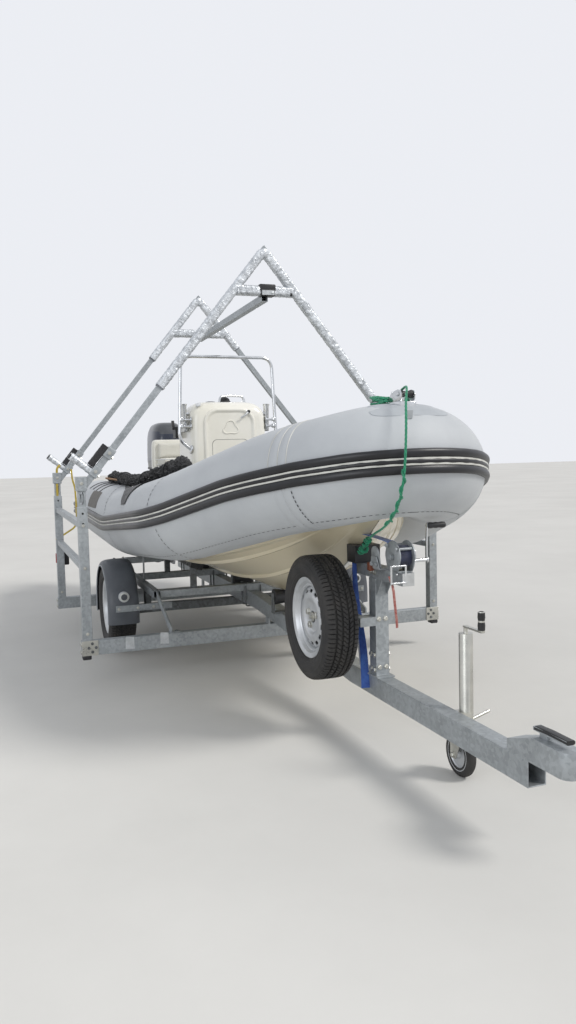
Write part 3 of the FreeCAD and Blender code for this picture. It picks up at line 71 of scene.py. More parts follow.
def surface(name, color, tint, rough, metal=0.0, patch=3.0, grain=260.0, bump=0.05, rough_by=0.12,
            cells=0.0, weave=0.0, streak=0.0, coat=0.0, sheen=0.0, dist=0.002):
    """A procedural finish: patchy colour, uneven gloss and a fine relief."""
    m = bpy.data.materials.new(name)
    m.use_nodes = True
    nodes, link = m.node_tree.nodes, m.node_tree.links.new

    def add(kind, **values):
        """A node with constants on its sockets; _ stands for a space in their names."""
        node = nodes.new("ShaderNode" + kind)
        for socket, value in values.items():
            node.inputs[socket.replace("_", " ")].default_value = value
        return node

    def added(source, share, base):
        """source * share + base."""
        node = add("Math")
        node.operation = "MULTIPLY_ADD"
        node.inputs[1].default_value = share
        link(source, node.inputs[0])
        link(base, node.inputs[2])
        return node.outputs[0]

    bsdf = nodes["Principled BSDF"]
    for socket, value in (("Metallic", metal), ("Coat Weight", coat), ("Coat Roughness", 0.12),
                          ("Sheen Weight", sheen)):
        bsdf.inputs[socket].default_value = value
    place = at = add("TexCoord").outputs["Object"]
    if streak:
        stretch = add("Mapping", Scale=(streak, streak, 1.0))
        link(place, stretch.inputs["Vector"])
        at = stretch.outputs["Vector"]
    blot = add("TexNoise", Scale=patch, Detail=8, Roughness=0.62)
    link(at, blot.inputs["Vector"])
    value = blot.outputs["Fac"]
    if cells:
        grains = add("TexVoronoi", Scale=cells)
        link(place, grains.inputs["Vector"])
        part = add("SeparateColor")
        link(grains.outputs["Color"], part.inputs["Color"])
        value = added(part.outputs["Red"], 0.35, value)
    ramp = add("MapRange", From_Min=0.36, From_Max=0.66 + (0.3 if cells else 0.0))
    link(value, ramp.inputs["Value"])
    mix = nodes.new("ShaderNodeMix")
    mix.data_type = "RGBA"
    mix.inputs["A"].default_value = srgb(*color)
    mix.inputs["B"].default_value = srgb(*tint)
    link(ramp.outputs["Result"], mix.inputs["Factor"])
    link(mix.outputs["Result"], bsdf.inputs["Base Color"])
    gloss = add("MapRange", To_Min=max(rough - rough_by, 0.03), To_Max=min(rough + rough_by, 1.0))
    link(value, gloss.inputs["Value"])
    link(gloss.outputs["Result"], bsdf.inputs["Roughness"])
    relief = add("TexNoise", Scale=grain, Detail=4)
    link(place, relief.inputs["Vector"])
    height = relief.outputs["Fac"]
    for axis in ("X", "Z") if weave else ():
        wave = add("TexWave", Scale=weave, Distortion=0.6)
        wave.bands_direction = axis
        link(place, wave.inputs["Vector"])
        height = added(wave.outputs["Fac"], 0.5, height)
    bumps = add("Bump", Strength=min(1.0, bump * 10), Distance=dist)
    link(height, bumps.inputs["Height"])
    link(bumps.outputs["Normal"], bsdf.inputs["Normal"])
    return m


GALV = surface("galvanised", (142, 147, 150), (176, 181, 184), 0.46, 0.55, patch=5, cells=70,
               grain=420, bump=0.04, dist=0.0006)
# A darker copy of the galvanised finish for the axle, hub drums, bunk posts, roller brackets and bolts under the boat:
# painted shade.
GALV_SHADED = surface("galvanised_painted_shade", (84, 86, 86), (126, 130, 132), 0.55, 0.45, patch=6,
                    cells=60, grain=380, bump=0.05, dist=0.0006)
ZINC = surface("zinc_plate", (178, 178, 172), (205, 204, 196), 0.3, 0.85, patch=9, grain=600,
               bump=0.03, dist=0.0004)
STEEL = surface("stainless", (196, 198, 200), (222, 224, 226), 0.18, 1.0, patch=12, grain=900,
                bump=0.02, rough_by=0.07, dist=0.0002)
FOIL = surface("silver_wrap", (168, 172, 176), (226, 230, 234), 0.34, 0.6, patch=14, cells=55,
               grain=90, bump=0.1, dist=0.004)
TAPE = surface("silver_tape", (186, 190, 192), (214, 217, 220), 0.4, 0.5, patch=20, grain=160,
               bump=0.08, dist=0.002)
FABRIC = surface("tube_fabric", (176, 180, 184), (190, 194, 197), 0.5, patch=1.6, grain=700,
                 weave=420, bump=0.03, rough_by=0.06, sheen=0.12, dist=0.0006)
PATCH = surface("tube_patch", (168, 173, 178), (182, 187, 191), 0.55, patch=5, grain=600,
                weave=420, bump=0.03, dist=0.0006)
DARK_PATCH = surface("dark_patch", (84, 81, 76), (104, 101, 95), 0.62, patch=9, grain=420,
                     bump=0.06, dist=0.0012)
TAB = surface("grey_tab", (138, 143, 146), (156, 160, 163), 0.55, patch=9, grain=600, weave=420,
              bump=0.03, dist=0.0006)
SEAM = surface("seam_glue", (40, 42, 47), (62, 65, 71), 0.6, patch=30, grain=500, bump=0.05)
RUBBER = surface("black_rubber", (30, 31, 34), (48, 49, 52), 0.42, patch=4, grain=500, bump=0.04,
                 rough_by=0.12, dist=0.0008)
STRAKE = surface("strake_rubber", (15, 16, 20), (31, 32, 37), 0.36, patch=4, grain=500, bump=0.04,
                 rough_by=0.1, dist=0.0008)
LINE_WHITE = surface("white_line", (214, 214, 208), (188, 188, 182), 0.45, patch=12, grain=400)
GEL = surface("hull_gelcoat", (230, 220, 194), (216, 204, 174), 0.22, patch=1.1, grain=60,
              bump=0.01, rough_by=0.08, coat=0.5, streak=0.4, dist=0.0008)
CONSOLE_GEL = surface("console_gelcoat", (238, 236, 227), (226, 223, 210), 0.24, patch=1.5,
                      grain=80, bump=0.01, rough_by=0.08, coat=0.5, dist=0.0008)
DECK = surface("deck_nonslip", (184, 180, 166), (160, 157, 146), 0.68, patch=4, cells=190,
               grain=240, bump=0.1, dist=0.003)
CUSHION = surface("seat_vinyl", (228, 226, 216), (208, 206, 196), 0.48, patch=6, grain=520, cells=300,
                  bump=0.07, sheen=0.1, dist=0.0012)
COWL = surface("cowl_paint", (66, 68, 72), (82, 85, 90), 0.32, 0.1, patch=2.5, grain=300,
               bump=0.01, coat=0.4, dist=0.0004)
NAVY = surface("navy_band", (26, 34, 52), (36, 45, 64), 0.3, patch=4, grain=300, bump=0.01,
               coat=0.4, dist=0.0004)
TRIM = surface("white_trim", (214, 216, 218), (196, 199, 202), 0.34, patch=5, grain=300,
               bump=0.01, dist=0.0004)
LEG = surface("engine_paint", (74, 77, 82), (92, 95, 100), 0.38, 0.25, patch=6, grain=420,
              bump=0.03, dist=0.0006)
ALLOY = surface("propeller_alloy", (108, 110, 114), (140, 142, 146), 0.36, 0.7, patch=14,
                grain=500, bump=0.04, dist=0.0005)
PLASTIC = surface("black_plastic", (28, 29, 30), (40, 41, 43), 0.46, patch=8, grain=900,
                  bump=0.05, dist=0.0006)
GUARD = surface("guard_plastic", (78, 82, 88), (98, 102, 108), 0.42, patch=3, grain=800,
                bump=0.05, dist=0.0008)
TYRE = surface("tyre_rubber", (34, 34, 35), (58, 56, 54), 0.7, patch=9, grain=420, bump=0.06,
               dist=0.0010)
RIM = surface("rim_paint", (186, 189, 192), (206, 208, 210), 0.34, 0.45, patch=6, grain=500,
              bump=0.02, dist=0.0005)
FOAM = surface("foam_rubber", (34, 34, 36), (60, 60, 62), 0.82, patch=18, grain=160, cells=260,
               bump=0.1, dist=0.004)
COVER = surface("cover_cloth", (8, 8, 9), (27, 27, 30), 0.44, patch=22, grain=600, weave=500,
                bump=0.06, sheen=0.04, dist=0.0012)
ROPE = surface("rope_green", (0, 118, 84), (22, 152, 110), 0.6, patch=60, grain=900, bump=0.08,
               sheen=0.3, dist=0.0006)
WEB = dict(grain=500, weave=900, bump=0.08, sheen=0.3, dist=0.0006)
BLUE_WEB = surface("blue_webbing", (34, 68, 150), (62, 106, 184), 0.6, patch=20, **WEB)
YELLOW_WEB = surface("yellow_webbing", (196, 172, 62), (170, 148, 60), 0.62, patch=20, **WEB)
RED_WEB = surface("red_webbing", (136, 44, 38), (176, 132, 122), 0.62, patch=80, **WEB)
RED_LENS = surface("red_lens", (150, 14, 14), (180, 26, 22), 0.16, patch=12, grain=120, coat=0.6,
                   bump=0.03)
WHITE_LENS = surface("white_lens", (206, 208, 204), (230, 231, 226), 0.14, patch=30, cells=160,
                     grain=200, coat=0.6, bump=0.05)
WOOD = surface("bare_stick", (150, 110, 66), (120, 84, 50), 0.6, patch=14, grain=120, streak=0.2,
               bump=0.08)
CARPET = surface("bunk_carpet", (30, 31, 33), (52, 53, 55), 0.9, patch=16, grain=900, bump=0.1,
                 sheen=0.4, dist=0.003)
BROWN = surface("brown_rubber", (120, 62, 34), (94, 48, 28), 0.5, patch=16, grain=300, bump=0.05)

# Geometry: every helper gives (vertices, faces) in millimetres


def join(*geos):
    verts, faces = [], []
    for vs, fs in geos:
        k = len(verts)
        verts.extend(vs)
        faces.extend([tuple(i + k for i in f) for f in fs])
    return verts, faces


def mirrored(geo):
    return [V(v[0], -v[1], v[2]) for v in geo[0]], [tuple(reversed(f)) for f in geo[1]]


def both(geo):
    return join(geo, mirrored(geo))


def on_side(geo, side):
    """A port geometry as it is, or mirrored to starboard."""
    return geo if side > 0 else mirrored(geo)


def bend(s, p, e, steps):
    """Points of a curve from s to e that p pulls to its side."""
    return [s * (1 - t) ** 2 + p * 2 * t * (1 - t) + e * t * t for t in (k / steps for k in range(steps + 1))]


def arc(cx, cy, r, start, steps):
    """A quarter of a circle as (x, y) pairs, from start degrees on."""
    return [(cx + r * cos(a), cy + r * sin(a)) for a in (radians(start + 90 * k / steps) for k in range(steps + 1))]


def ray(side, up, a):
    """The direction at angle a from side towards up."""
    return side * cos(a) + up * sin(a)


def loft(rings, closed=True, caps=True):
    n = len(rings[0])
    verts = [Vector(v) for ring in rings for v in ring]
    faces = []
    for i in range(len(rings) - 1):
        for j in range(n if closed else n - 1):
            a, b = i * n + j, i * n + (j + 1) % n
            faces.append((a, b, b + n, a + n))
    if caps:
        faces.append(tuple(reversed(range(n))))
        faces.append(tuple(range((len(rings) - 1) * n, len(rings) * n)))
    return verts, faces


def rounded(points, reach, steps=6):
    """A line through points with each corner rounded, over reach at most."""
    pts = [Vector(p) for p in points]
    out = [pts[0]]
    for i in range(1, len(pts) - 1):
        p = pts[i]
        a, b = pts[i - 1] - p, pts[i + 1] - p
        r = min(reach, 0.5 * a.length, 0.5 * b.length)
        out += bend(p + a.normalized() * r, p, p + b.normalized() * r, steps)
    out.append(pts[-1])
    return [p for i, p in enumerate(out) if i == 0 or (p - out[i - 1]).length > 1e-3]


def refined(path, step):
    out = [path[0]]
    for a, b in zip(path, path[1:]):
        k = max(1, ceil((b - a).length / step))
        out.extend(a.lerp(b, j / k) for j in range(1, k + 1))
    return out


def smooth(points, per=8):
    """A line that passes through the points without corners."""
    pts = [Vector(p) for p in points]
    pts = [2 * pts[0] - pts[1]] + pts + [2 * pts[-1] - pts[-2]]
    out = []
    for i in range(1, len(pts) - 2):
        a, b, c, d = pts[i - 1:i + 3]
        for k in range(per):
            t = k / per
            out.append(0.5 * (2 * b + (c - a) * t + (2 * a - 5 * b + 4 * c - d) * t ** 2
                              + (3 * b - a - 3 * c + d) * t ** 3))
    out.append(pts[-2])
    return out


def carried(path, up=None):
    """Frames along a line: point, side, up, along; with up given, up stays near it."""
    out = []
    side = None
    for i, p in enumerate(path):
        t = (path[min(i + 1, len(path) - 1)] - path[max(i - 1, 0)]).normalized()
        if up is not None:
            side = t.cross(up)
        elif side is None:
            side = t.cross(UP if abs(t.z) < 0.9 else V(0, 1, 0))
        else:
            side = side - t * side.dot(t)
        side = side.normalized()
        out.append((p, side, side.cross(t), t))
    return out


def pipe(path, r, n=12, caps=True):
    rings = []
    for i, (p, s, u, _) in enumerate(carried(path)):
        rr = r[i] if isinstance(r, list) else r
        rings.append([p + ray(s, u, k * tau / n) * rr for k in range(n)])
    return loft(rings, True, caps)


def sweep(path, outline, up=None, closed=True, caps=True):
    """An outline of (side, up) pairs carried along a line."""
    rings = [[p + s * a + u * b for a, b in outline] for p, s, u, _ in carried(path, up)]
    return loft(rings, closed, caps)


def oblong(w, h, r, n=3):
    """A rounded rectangle, counter-clockwise."""
    out = []
    r = min(r, w / 2, h / 2)
    for cx, cy, a0 in ((w / 2 - r, h / 2 - r, 0), (-w / 2 + r, h / 2 - r, 90),
                       (-w / 2 + r, -h / 2 + r, 180), (w / 2 - r, -h / 2 + r, 270)):
        out += arc(cx, cy, r, a0, n)
    return out


def bar(a, b, w, h, r):
    """A level square-section member with rounded edges."""
    return sweep([Vector(a), Vector(b)], oblong(w, h, r), UP)


def block(x0, x1, y0, y1, z0, z1, r=3.0, seg=2):
    bm = bmesh.new()
    bmesh.ops.create_cube(bm, size=1.0)
    for v in bm.verts:
        v.co = V((x0 + x1) / 2 + v.co.x * (x1 - x0), (y0 + y1) / 2 + v.co.y * (y1 - y0),
                 (z0 + z1) / 2 + v.co.z * (z1 - z0))
    if r:
        bmesh.ops.bevel(bm, geom=bm.edges[:], offset=r, segments=seg, profile=0.5, affect="EDGES")
    return taken(bm)


def taken(bm):
    bm.verts.index_update()
    geo = [v.co.copy() for v in bm.verts], [tuple(v.index for v in f.verts) for f in bm.faces]
    bm.free()
    return geo


def slab(outline, along, r=0.0, seg=2):
    """A flat outline of points pushed along a vector, with its edges rounded."""
    bm = bmesh.new()
    face = bm.faces.new([bm.verts.new(Vector(p)) for p in outline])
    bm.normal_update()
    if face.normal.dot(along) > 0:
        face.normal_flip()
    top = bmesh.ops.extrude_face_region(bm, geom=[face])
    for v in top["geom"]:
        if isinstance(v, bmesh.types.BMVert):
            v.co += Vector(along)
    bmesh.ops.recalc_face_normals(bm, faces=bm.faces[:])
    if r:
        bmesh.ops.bevel(bm, geom=bm.edges[:], offset=r, segments=seg, profile=0.5, affect="EDGES",
                        clamp_overlap=True)
    return taken(bm)


def basis(axis):
    axis = Vector(axis).normalized()
    side = axis.cross(UP if abs(axis.z) < 0.9 else V(1, 0, 0)).normalized()
    return side, axis.cross(side), axis


def turned(centre, axis, profile, n=48, closed=False, caps=True):
    """A profile of (radius, height) turned round an axis; a closed profile needs no caps."""
    s, u, a = basis(axis)
    c = Vector(centre)
    rings = [[c + a * h + ray(s, u, k * tau / n) * max(r, 0.01) for k in range(n)]
             for r, h in profile + ([profile[0]] if closed else [])]
    return loft(rings, True, caps and not closed)


def rod(a, b, r, n=20, edge=1.0):
    a, b = Vector(a), Vector(b)
    length = (b - a).length
    e = min(edge, r * 0.4, length * 0.4)
    return turned(a, b - a, [(r - e, 0), (r, e), (r, length - e), (r - e, length)], n)


def bolt(at, axis, d):
    """A hexagon head on a washer."""
    return join(turned(at, axis, [(d * 1.05, 0), (d * 1.05, d * 0.14), (d * 0.9, d * 0.18)], 20),
                turned(at, axis, [(d * 0.92, d * 0.15), (d * 0.92, d * 0.62), (d * 0.78, d * 0.74)], 6))


def ribbon(path, width, thick, up):
    """A flat strap: up is the direction of its thin side."""
    return sweep(path, oblong(width, thick, thick * 0.45, 2), up)


def crumpled(geo, amount, scale, seed):
    """The vertices pushed about by noise along rough normals from the mesh's own faces."""
    verts, faces = geo
    normals = [V(0, 0, 0) for _ in verts]
    for f in faces:
        a, b, c = verts[f[0]], verts[f[1]], verts[f[2]]
        nrm = (b - a).cross(c - a)
        for i in f:
            normals[i] = normals[i] + nrm
    out = []
    for v, nrm in zip(verts, normals):
        nrm = nrm.normalized() if nrm.length > 1e-9 else V(0, 0, 0)
        k = noise.turbulence(v * scale + V(seed, seed * 2, -seed), 3, True) - 0.45
        out.append(v + nrm * k * amount)
    return out, faces


def make(name, geo, material, body=ROOT, replaces=(), sharp=38.0, flat=False):
    """Adds a visible piece that rides on a body of the frame."""
    mesh = bpy.data.meshes.new(name)
    mesh.from_pydata([metres(v) for v in geo[0]], [], geo[1])
    mesh.validate()
    mesh.update()
    obj = linked(name, mesh)
    mesh.materials.append(material)
    if not flat:
        mesh.shade_smooth()
        mesh.set_sharp_from_angle(angle=radians(sharp))
    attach(obj, body)
    if replaces:
        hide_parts(*replaces)
    return obj


def dress(material, soft, *nodes):
    """Gives CAD nodes their finish and, with soft, edges rounded by so many millimetres."""
    for node in nodes:
        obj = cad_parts[node]
        obj.data.materials.clear()
        obj.data.materials.append(material)
        if soft:
            weld = obj.modifiers.new("weld", "WELD")
            weld.merge_threshold = 1e-5
            mod = obj.modifiers.new("edges", "BEVEL")
            mod.width = soft / 1000
            mod.segments = 2
            mod.limit_method = "ANGLE"
            mod.angle_limit = radians(40)


# Camera, light and floor

CAM_YAW, CAM_PITCH, CAM_ROLL = radians(20.3), radians(4.1), radians(1.33)
CAM_AT = (5.485, -1.80, 1.42)
FOCAL_PIXELS, PHOTO_HEIGHT = 820.0, 1024.0
level = V(-cos(CAM_YAW), sin(CAM_YAW), 0)
right0 = V(sin(CAM_YAW), cos(CAM_YAW), 0)
ahead = level * cos(CAM_PITCH) - UP * sin(CAM_PITCH)
up0 = right0.cross(ahead)
right = right0 * cos(CAM_ROLL) - up0 * sin(CAM_ROLL)
up1 = up0 * cos(CAM_ROLL) + right0 * sin(CAM_ROLL)
cam_data = bpy.data.cameras.new("camera")
cam_data.sensor_width = 36.0
cam_data.lens = FOCAL_PIXELS * 36.0 / PHOTO_HEIGHT
cam_data.clip_end = 300.0
camera = linked("camera", cam_data)
camera.matrix_world = Matrix.Translation(CAM_AT) @ Matrix((right, up1, -ahead)).transposed().to_4x4()
bpy.context.scene.camera = camera

# The sky is brighter for the camera and for clear or glossy things than as a light
bpy.context.scene.view_settings.view_transform = "Standard"
world = bpy.data.worlds.new("world")
bpy.context.scene.world = world
world.use_nodes = True
wn, wl = world.node_tree.nodes, world.node_tree.links.new
rays = wn.new("ShaderNodeLightPath").outputs
seen = rays["Is Camera Ray"]
for kind in ("Is Glossy Ray", "Is Transmission Ray"):
    either = wn.new("ShaderNodeMath")
    either.operation = "MAXIMUM"
    wl(seen, either.inputs[0])
    wl(rays[kind], either.inputs[1])
    seen = either.outputs[0]
sky = wn.new("ShaderNodeMapRange")
sky.inputs["To Min"].default_value = 0.62
sky.inputs["To Max"].default_value = 0.9
wl(seen, sky.inputs["Value"])
wl(sky.outputs["Result"], wn["Background"].inputs["Strength"])
wn["Background"].inputs["Color"].default_value = (0.93, 0.95, 1.0, 1)

for name, kind, energy, place, extent, size, color in (
        ("sun", "SUN", 1.9, (5, 7, 9), "angle", radians(16), (1.0, 0.97, 0.93)),
        ("fill", "AREA", 190.0, (6.5, -7.0, 4.0), "size", 5.0, (0.94, 0.97, 1.0))):
    data = bpy.data.lights.new(name, kind)
    data.energy = energy
    data.color = color
    setattr(data, extent, size)
    lamp = linked(name, data)
    lamp.location = place
    lamp.rotation_euler = (UP - Vector(place)).to_track_quat("-Z", "Y").to_euler()

floor_mesh = bpy.data.meshes.new("floor")
floor_mesh.from_pydata([(-60, -60, 0), (60, -60, 0), (60, 60, 0), (-60, 60, 0)], [], [(0, 1, 2, 3)])
floor_mesh.materials.append(surface("floor_paint", (214, 213, 209), (206, 205, 201), 0.85, patch=0.5,
                                    grain=40, bump=0.01))
floor_obj = linked("floor", floor_mesh)

# Collar: rings along the middle line of the tube, with the stern cones beyond its ends

TUBE_R = 260.0
TUBE_LINE = ((-2290, 690, 930), (-200, 706, 916), (1450, 708, 1062), (2360, 422, 1278), (2665, 236, 1340),
             (2785, 92, 1374))
CONE = 290.0
half_line = [V(x, -y, z) for x, y, z in TUBE_LINE]
tube_line = refined(rounded(half_line + [V(x, y, z) for x, y, z in reversed(TUBE_LINE)], 230, 10), 44)
first, last = tube_line[0], tube_line[-1]
stern_a = (first - tube_line[1]).normalized()
stern_b = (last - tube_line[-2]).normalized()
cone_steps = [CONE * k / 12 for k in range(12, 0, -1)]
tube_line = ([first + stern_a * d for d in cone_steps] + tube_line
             + [last + stern_b * d for d in reversed(cone_steps)])
TUBE = carried(tube_line, UP)
ALONG = [-CONE]
for a, b in zip(tube_line, tube_line[1:]):
    ALONG.append(ALONG[-1] + (b - a).length)
TUBE_END = ALONG[-1] - CONE


def tube_radius(s):
    over = max(-s, s - TUBE_END, 0.0) / CONE
    return TUBE_R - 165.0 * over ** 1.5


def tube_frame(s):
    """Point, side, up and along of the collar's middle line at a distance."""
    s = min(max(s, ALONG[0]), ALONG[-1] - 1e-3)
    lo, hi = 0, len(ALONG) - 1
    while hi - lo > 1:
        mid = (lo + hi) // 2
        if ALONG[mid] <= s:
            lo = mid
        else:
            hi = mid
    k = (s - ALONG[lo]) / (ALONG[hi] - ALONG[lo])
    a, b = TUBE[lo], TUBE[hi]
    return [x.lerp(y, k) if i == 0 else x.lerp(y, k).normalized() for i, (x, y) in enumerate(zip(a, b))]


def held_side(p, s):
    """Keeps the inner side of the nose on its own half."""
    if abs(s - TUBE_END / 2) < 700:
        p.y = min(p.y, 0.0) if s < TUBE_END / 2 else max(p.y, 0.0)
    return p


def on_tube(s, angle, lift=0.0):
    """A point on the collar: angle 0 is outboard, 90 on top."""
    p, side, up, _ = tube_frame(s)
    a = radians(angle)
    return held_side(p + ray(side, up, a) * (tube_radius(s) + lift), s)


SKIN = loft([[held_side(p + ray(side, up, k * tau / 64) * tube_radius(s), s) for k in range(64)]
             for (p, side, up, _), s in zip(TUBE, ALONG)])
SKIN_TREE = BVHTree.FromPolygons(SKIN[0], SKIN[1])


def tube_top(x, y):
    """Height of the collar's skin at x, y."""
    hit = SKIN_TREE.ray_cast(V(x, y, 2500), V(0, 0, -1))
    return hit[0].z if hit[0] else 0.0


# Bow rope: knotted at the snubber, over the fairlead's roller and into a loose hank

ROPE_D = 12.0
ROPE_ROUTE = (
    (2430.3, -50.0, 932.0), (2486.0, -50.0, 932.0), (2545.0, -58.0, 980.0), (2640.0, -72.0, 1024.0),
    (2768.0, -96.0, 1056.0), (2904.0, -120.0, 1102.0), (3024.0, -138.0, 1180.0),
    (3092.0, -148.0, 1286.0), (3098.0, -140.0, 1412.0), (3058.0, -114.0, 1535.0),
    (2990.0, -78.0, 1636.0), (2920.0, -34.0, 1695.0), (2850.0, 0.0, 1709.0), (2786.0, -2.0, 1684.0),
    (2728.5, -4.0, 1652.0))


HANK_TURNS, HANK_STEPS, LAYER_TURNS = 4.8, 67, 1.6


def hank_turns(cx, cy, level):
    """Control points of the hank, from the top layer down to the free end."""
    points = []
    for i in range(HANK_STEPS + 1):
        t = HANK_TURNS * i / HANK_STEPS
        layer = int(min(t / LAYER_TURNS, 2.999))
        within = t - layer * LAYER_TURNS
        r = 27 + 13 * within if layer % 2 == 0 else 27 + 13 * (LAYER_TURNS - within)
        drop = 14.2 * (layer + (min(1.0, within / 0.2) if layer else 1.0))
        a = tau * t + 0.5
        wave = 1.5 * sin(2.3 * a)
        points.append((cx + 18 * max(-1, min(1, 1.6 * cos(a))) + r * cos(a) + wave,
                       cy + 0.86 * r * sin(a), level + 62.0 - drop - 8 * cos(a) * (1 - layer / 3)))
    return points


HANK_Z = max(tube_top(x, y) for x in (2600, 2650, 2700) for y in (-90, -50, -10))
rope_points = list(ROPE_ROUTE) + [(2706.0, -12.0, HANK_Z + 50)] + hank_turns(2650.0, -25.0, HANK_Z + 2)
rope_curve = bpy.data.curves.new("rope_line", "CURVE")
rope_curve.dimensions = "3D"
spline = rope_curve.splines.new("NURBS")
spline.points.add(len(rope_points) - 1)
for point, at in zip(spline.points, rope_points):
    point.co = (*metres(at), 1.0)
spline.order_u = 3
spline.use_endpoint_u = True
spline.resolution_u = 8
rope_obj = linked("rope_line", rope_curve)
line_mesh = bpy.data.meshes.new_from_object(rope_obj)
ROPE_PATH = [v.co.copy() for v in line_mesh.vertices]
bpy.data.objects.remove(rope_obj)


def laid(path, d, strands=3, pitch=5.2, n=7):
    """Twisted strands round a line given in millimetres."""
    path = refined(path, d * 0.62)
    frames = carried(path)
    core = d * 0.27
    parts = []
    for j in range(strands):
        pts, dist = [], 0.0
        for i, (p, s, u, _) in enumerate(frames):
            if i:
                dist += (p - frames[i - 1][0]).length
            a = tau * (dist / (d * pitch) + j / strands)
            pts.append(p + ray(s, u, a) * core)
        parts.append(pipe(pts, d * 0.245, n))
    return join(*parts)


def lump(centre, axis, r, tube, twist=0.5, turns=2.0):
    """A small knot: a loop of the rope wound on itself."""
    s, u, a = basis(axis)
    pts = []
    for k in range(27):
        t = k / 26 * tau * turns
        rr = r * (1 + 0.18 * sin(1.5 * t))
        pts.append(Vector(centre) + s * rr * cos(t) + u * rr * sin(t)
                   + a * (k / 26 - 0.5) * tube * 2.6 * turns * twist)
    return laid(smooth(pts, 2), tube, 3, 4.5, 6)


rope_mm = [V(p.x * 1000 - AXLE_X, p.y * 1000, p.z * 1000) for p in ROPE_PATH]
rope = make("bow_rope_laid", laid(rope_mm, ROPE_D), ROPE, replaces=("bow_rope", "rope_hank"),
            sharp=80)
end_knot = make("rope_end_knot", lump(rope_mm[-1], rope_mm[-1] - rope_mm[-3], 9, 8.0), ROPE, sharp=80)
low_knot = make("rope_low_knot", join(lump((2484, -50, 934), (1, 0, 0.3), 15, 12.0, 0.7, 2.6),
                                      lump((2548, -58, 984), (1, -0.1, 0.6), 13, 12.0, 0.9, 2.4)), ROPE, sharp=80)
# The knot's tail, wound round the rope where it hangs, a turn in every 95 mm
hang = [p for p in rope_mm if p.x > 2860 and 1075 < p.z < 1345]
tail = [p + ray(side, up, i * 9 / 95 * tau) * 9.5 for i, (p, side, up, _) in enumerate(carried(refined(hang, 9)))]
rope_tail = make("rope_tail", laid(tail, 9.0, 3, 4.5, 6), ROPE, sharp=80)
print("rope", round(sum((b - a).length for a, b in zip(ROPE_PATH, ROPE_PATH[1:])), 3), "hank level", round(HANK_Z))

# Skin, seams and patches of the collar

make("collar_skin", SKIN, FABRIC, replaces=("collar",), sharp=50)


ENDS = (lambda s: s, lambda s: TUBE_END - s)
DEGREE = 4.6


def strip(places, section, end=ENDS[0]):
    """A strip on the collar: section gives (offset along, lift) at each (s, angle) of places."""
    return loft([[on_tube(end(s + ds), a, lift) for ds, lift in section] for s, a in places], False, False)


def tape_ring(s, width, lift, a0=0.0, a1=360.0, n=72):
    """A strip that runs round the tube."""
    edge = width / 2
    return strip([(s, a0 + (a1 - a0) * k / n) for k in range(n + 1)],
                 ((-edge, 0.1), (2 - edge, lift), (edge - 2, lift), (edge, 0.1)))


def dashes(place, count, length, width, lift):
    """Short marks along a line that place(k) gives as (s, angle)."""
    parts = []
    for i in range(count):
        s0, a0 = place((i + 0.15) / count)
        s1, a1 = place((i + 0.15 + length) / count)
        p, q = on_tube(s0, a0, lift), on_tube(s1, a1, lift)
        out = (on_tube(s0, a0, lift + 10) - p).normalized()
        across = (q - p).cross(out).normalized() * width / 2
        parts.append(([p - across, q - across, q + across, p + across], [(0, 1, 2, 3)]))
    return join(*parts)


seams, marks, edges = [], [], []
# Rings of dashes: distance at the top, its lean, distance below the strake, width
for top_s, lean, low_s, width in ((2150, -8.5, 2335, 9.0), (3778, 0.0, 3850, 8.0)):
    for end in ENDS:
        def ring_place(k):
            a = 14 + 96 * k
            return end(top_s + lean * max(a - 20, 0)), a

        def low_place(k):
            return end(low_s), -16 - 84 * k

        for place, count, share in ((ring_place, 15, 1.0), (low_place, 13, 0.7)):
            marks.append(dashes(place, count, 0.58, width * share, 2.2))
            seams.append(strip([place(j / 30) for j in range(31)], ((-19, 0.1), (-17, 1.0), (12, 0.9), (14, 0.1))))
for s in (4880, 4930):
    for at in (s, TUBE_END - s):
        way = 1 if at > TUBE_END / 2 else -1
        seams.append(tape_ring(at, 48, 1.6))
        # Thin white strips along the tape pair's edges over the top of the tube: painted highlights.
        for reach, width, lift in ((26, 3.0, 2.4), (-24.5, 5.0, 2.6)):
            edges.append(tape_ring(at + way * reach, width, lift, 12, 110, 30))
for end in ENDS:
    marks.append(dashes(lambda k: (end(4958), -15 - 45 * k), 9, 0.6, 5.0, 2.6))
for at in (-8, TUBE_END + 8):
    seams.append(tape_ring(at, 40, 1.4))
for end in ENDS:
    for s0, s1, a0, a1, count, width in ((0, 4900, -62, -61, 150, 3.6), (4900, 5374, -60, -63, 20, 5.0),
                                         (0, 1560, 118, 112, 76, 2.6), (2720, 5200, 112, 104, 120, 2.6)):
        marks.append(dashes(lambda k: (end(s0 + (s1 - s0) * k), a0 + (a1 - a0) * k), count, 0.55, width, 0.8))
make("collar_tapes", join(*seams), FABRIC)
# The white strips on the tape edges are painted highlights.
make("collar_tape_edge_highlights", join(*edges), LINE_WHITE)
make("collar_marks", join(*marks), SEAM, flat=True)


def tube_patch(boundary, lift, wrinkle=0.0, seed=0.0):
    """A glued patch in 7 rings and a turned-down edge: the boundary is a list of (s, angle)."""
    n = len(boundary)
    cs, ca = (sum(b[i] for b in boundary) / n for i in (0, 1))
    rows = []
    for k in range(8):
        f = 0.02 + 0.98 * min(1.0, k / 6)
        up = lift if k < 7 else -0.5
        row = []
        for s, a in boundary:
            ss, aa = cs + (s - cs) * f, ca + (a - ca) * f
            bump = wrinkle * noise.noise(V(ss * 0.012 + seed, aa * 0.11, seed)) if wrinkle and k < 6 else 0
            row.append(on_tube(ss, aa, up + bump))
        rows.append(row)
    verts, faces = loft(rows, True, False)
    return verts, faces + [tuple(reversed(range(n)))]


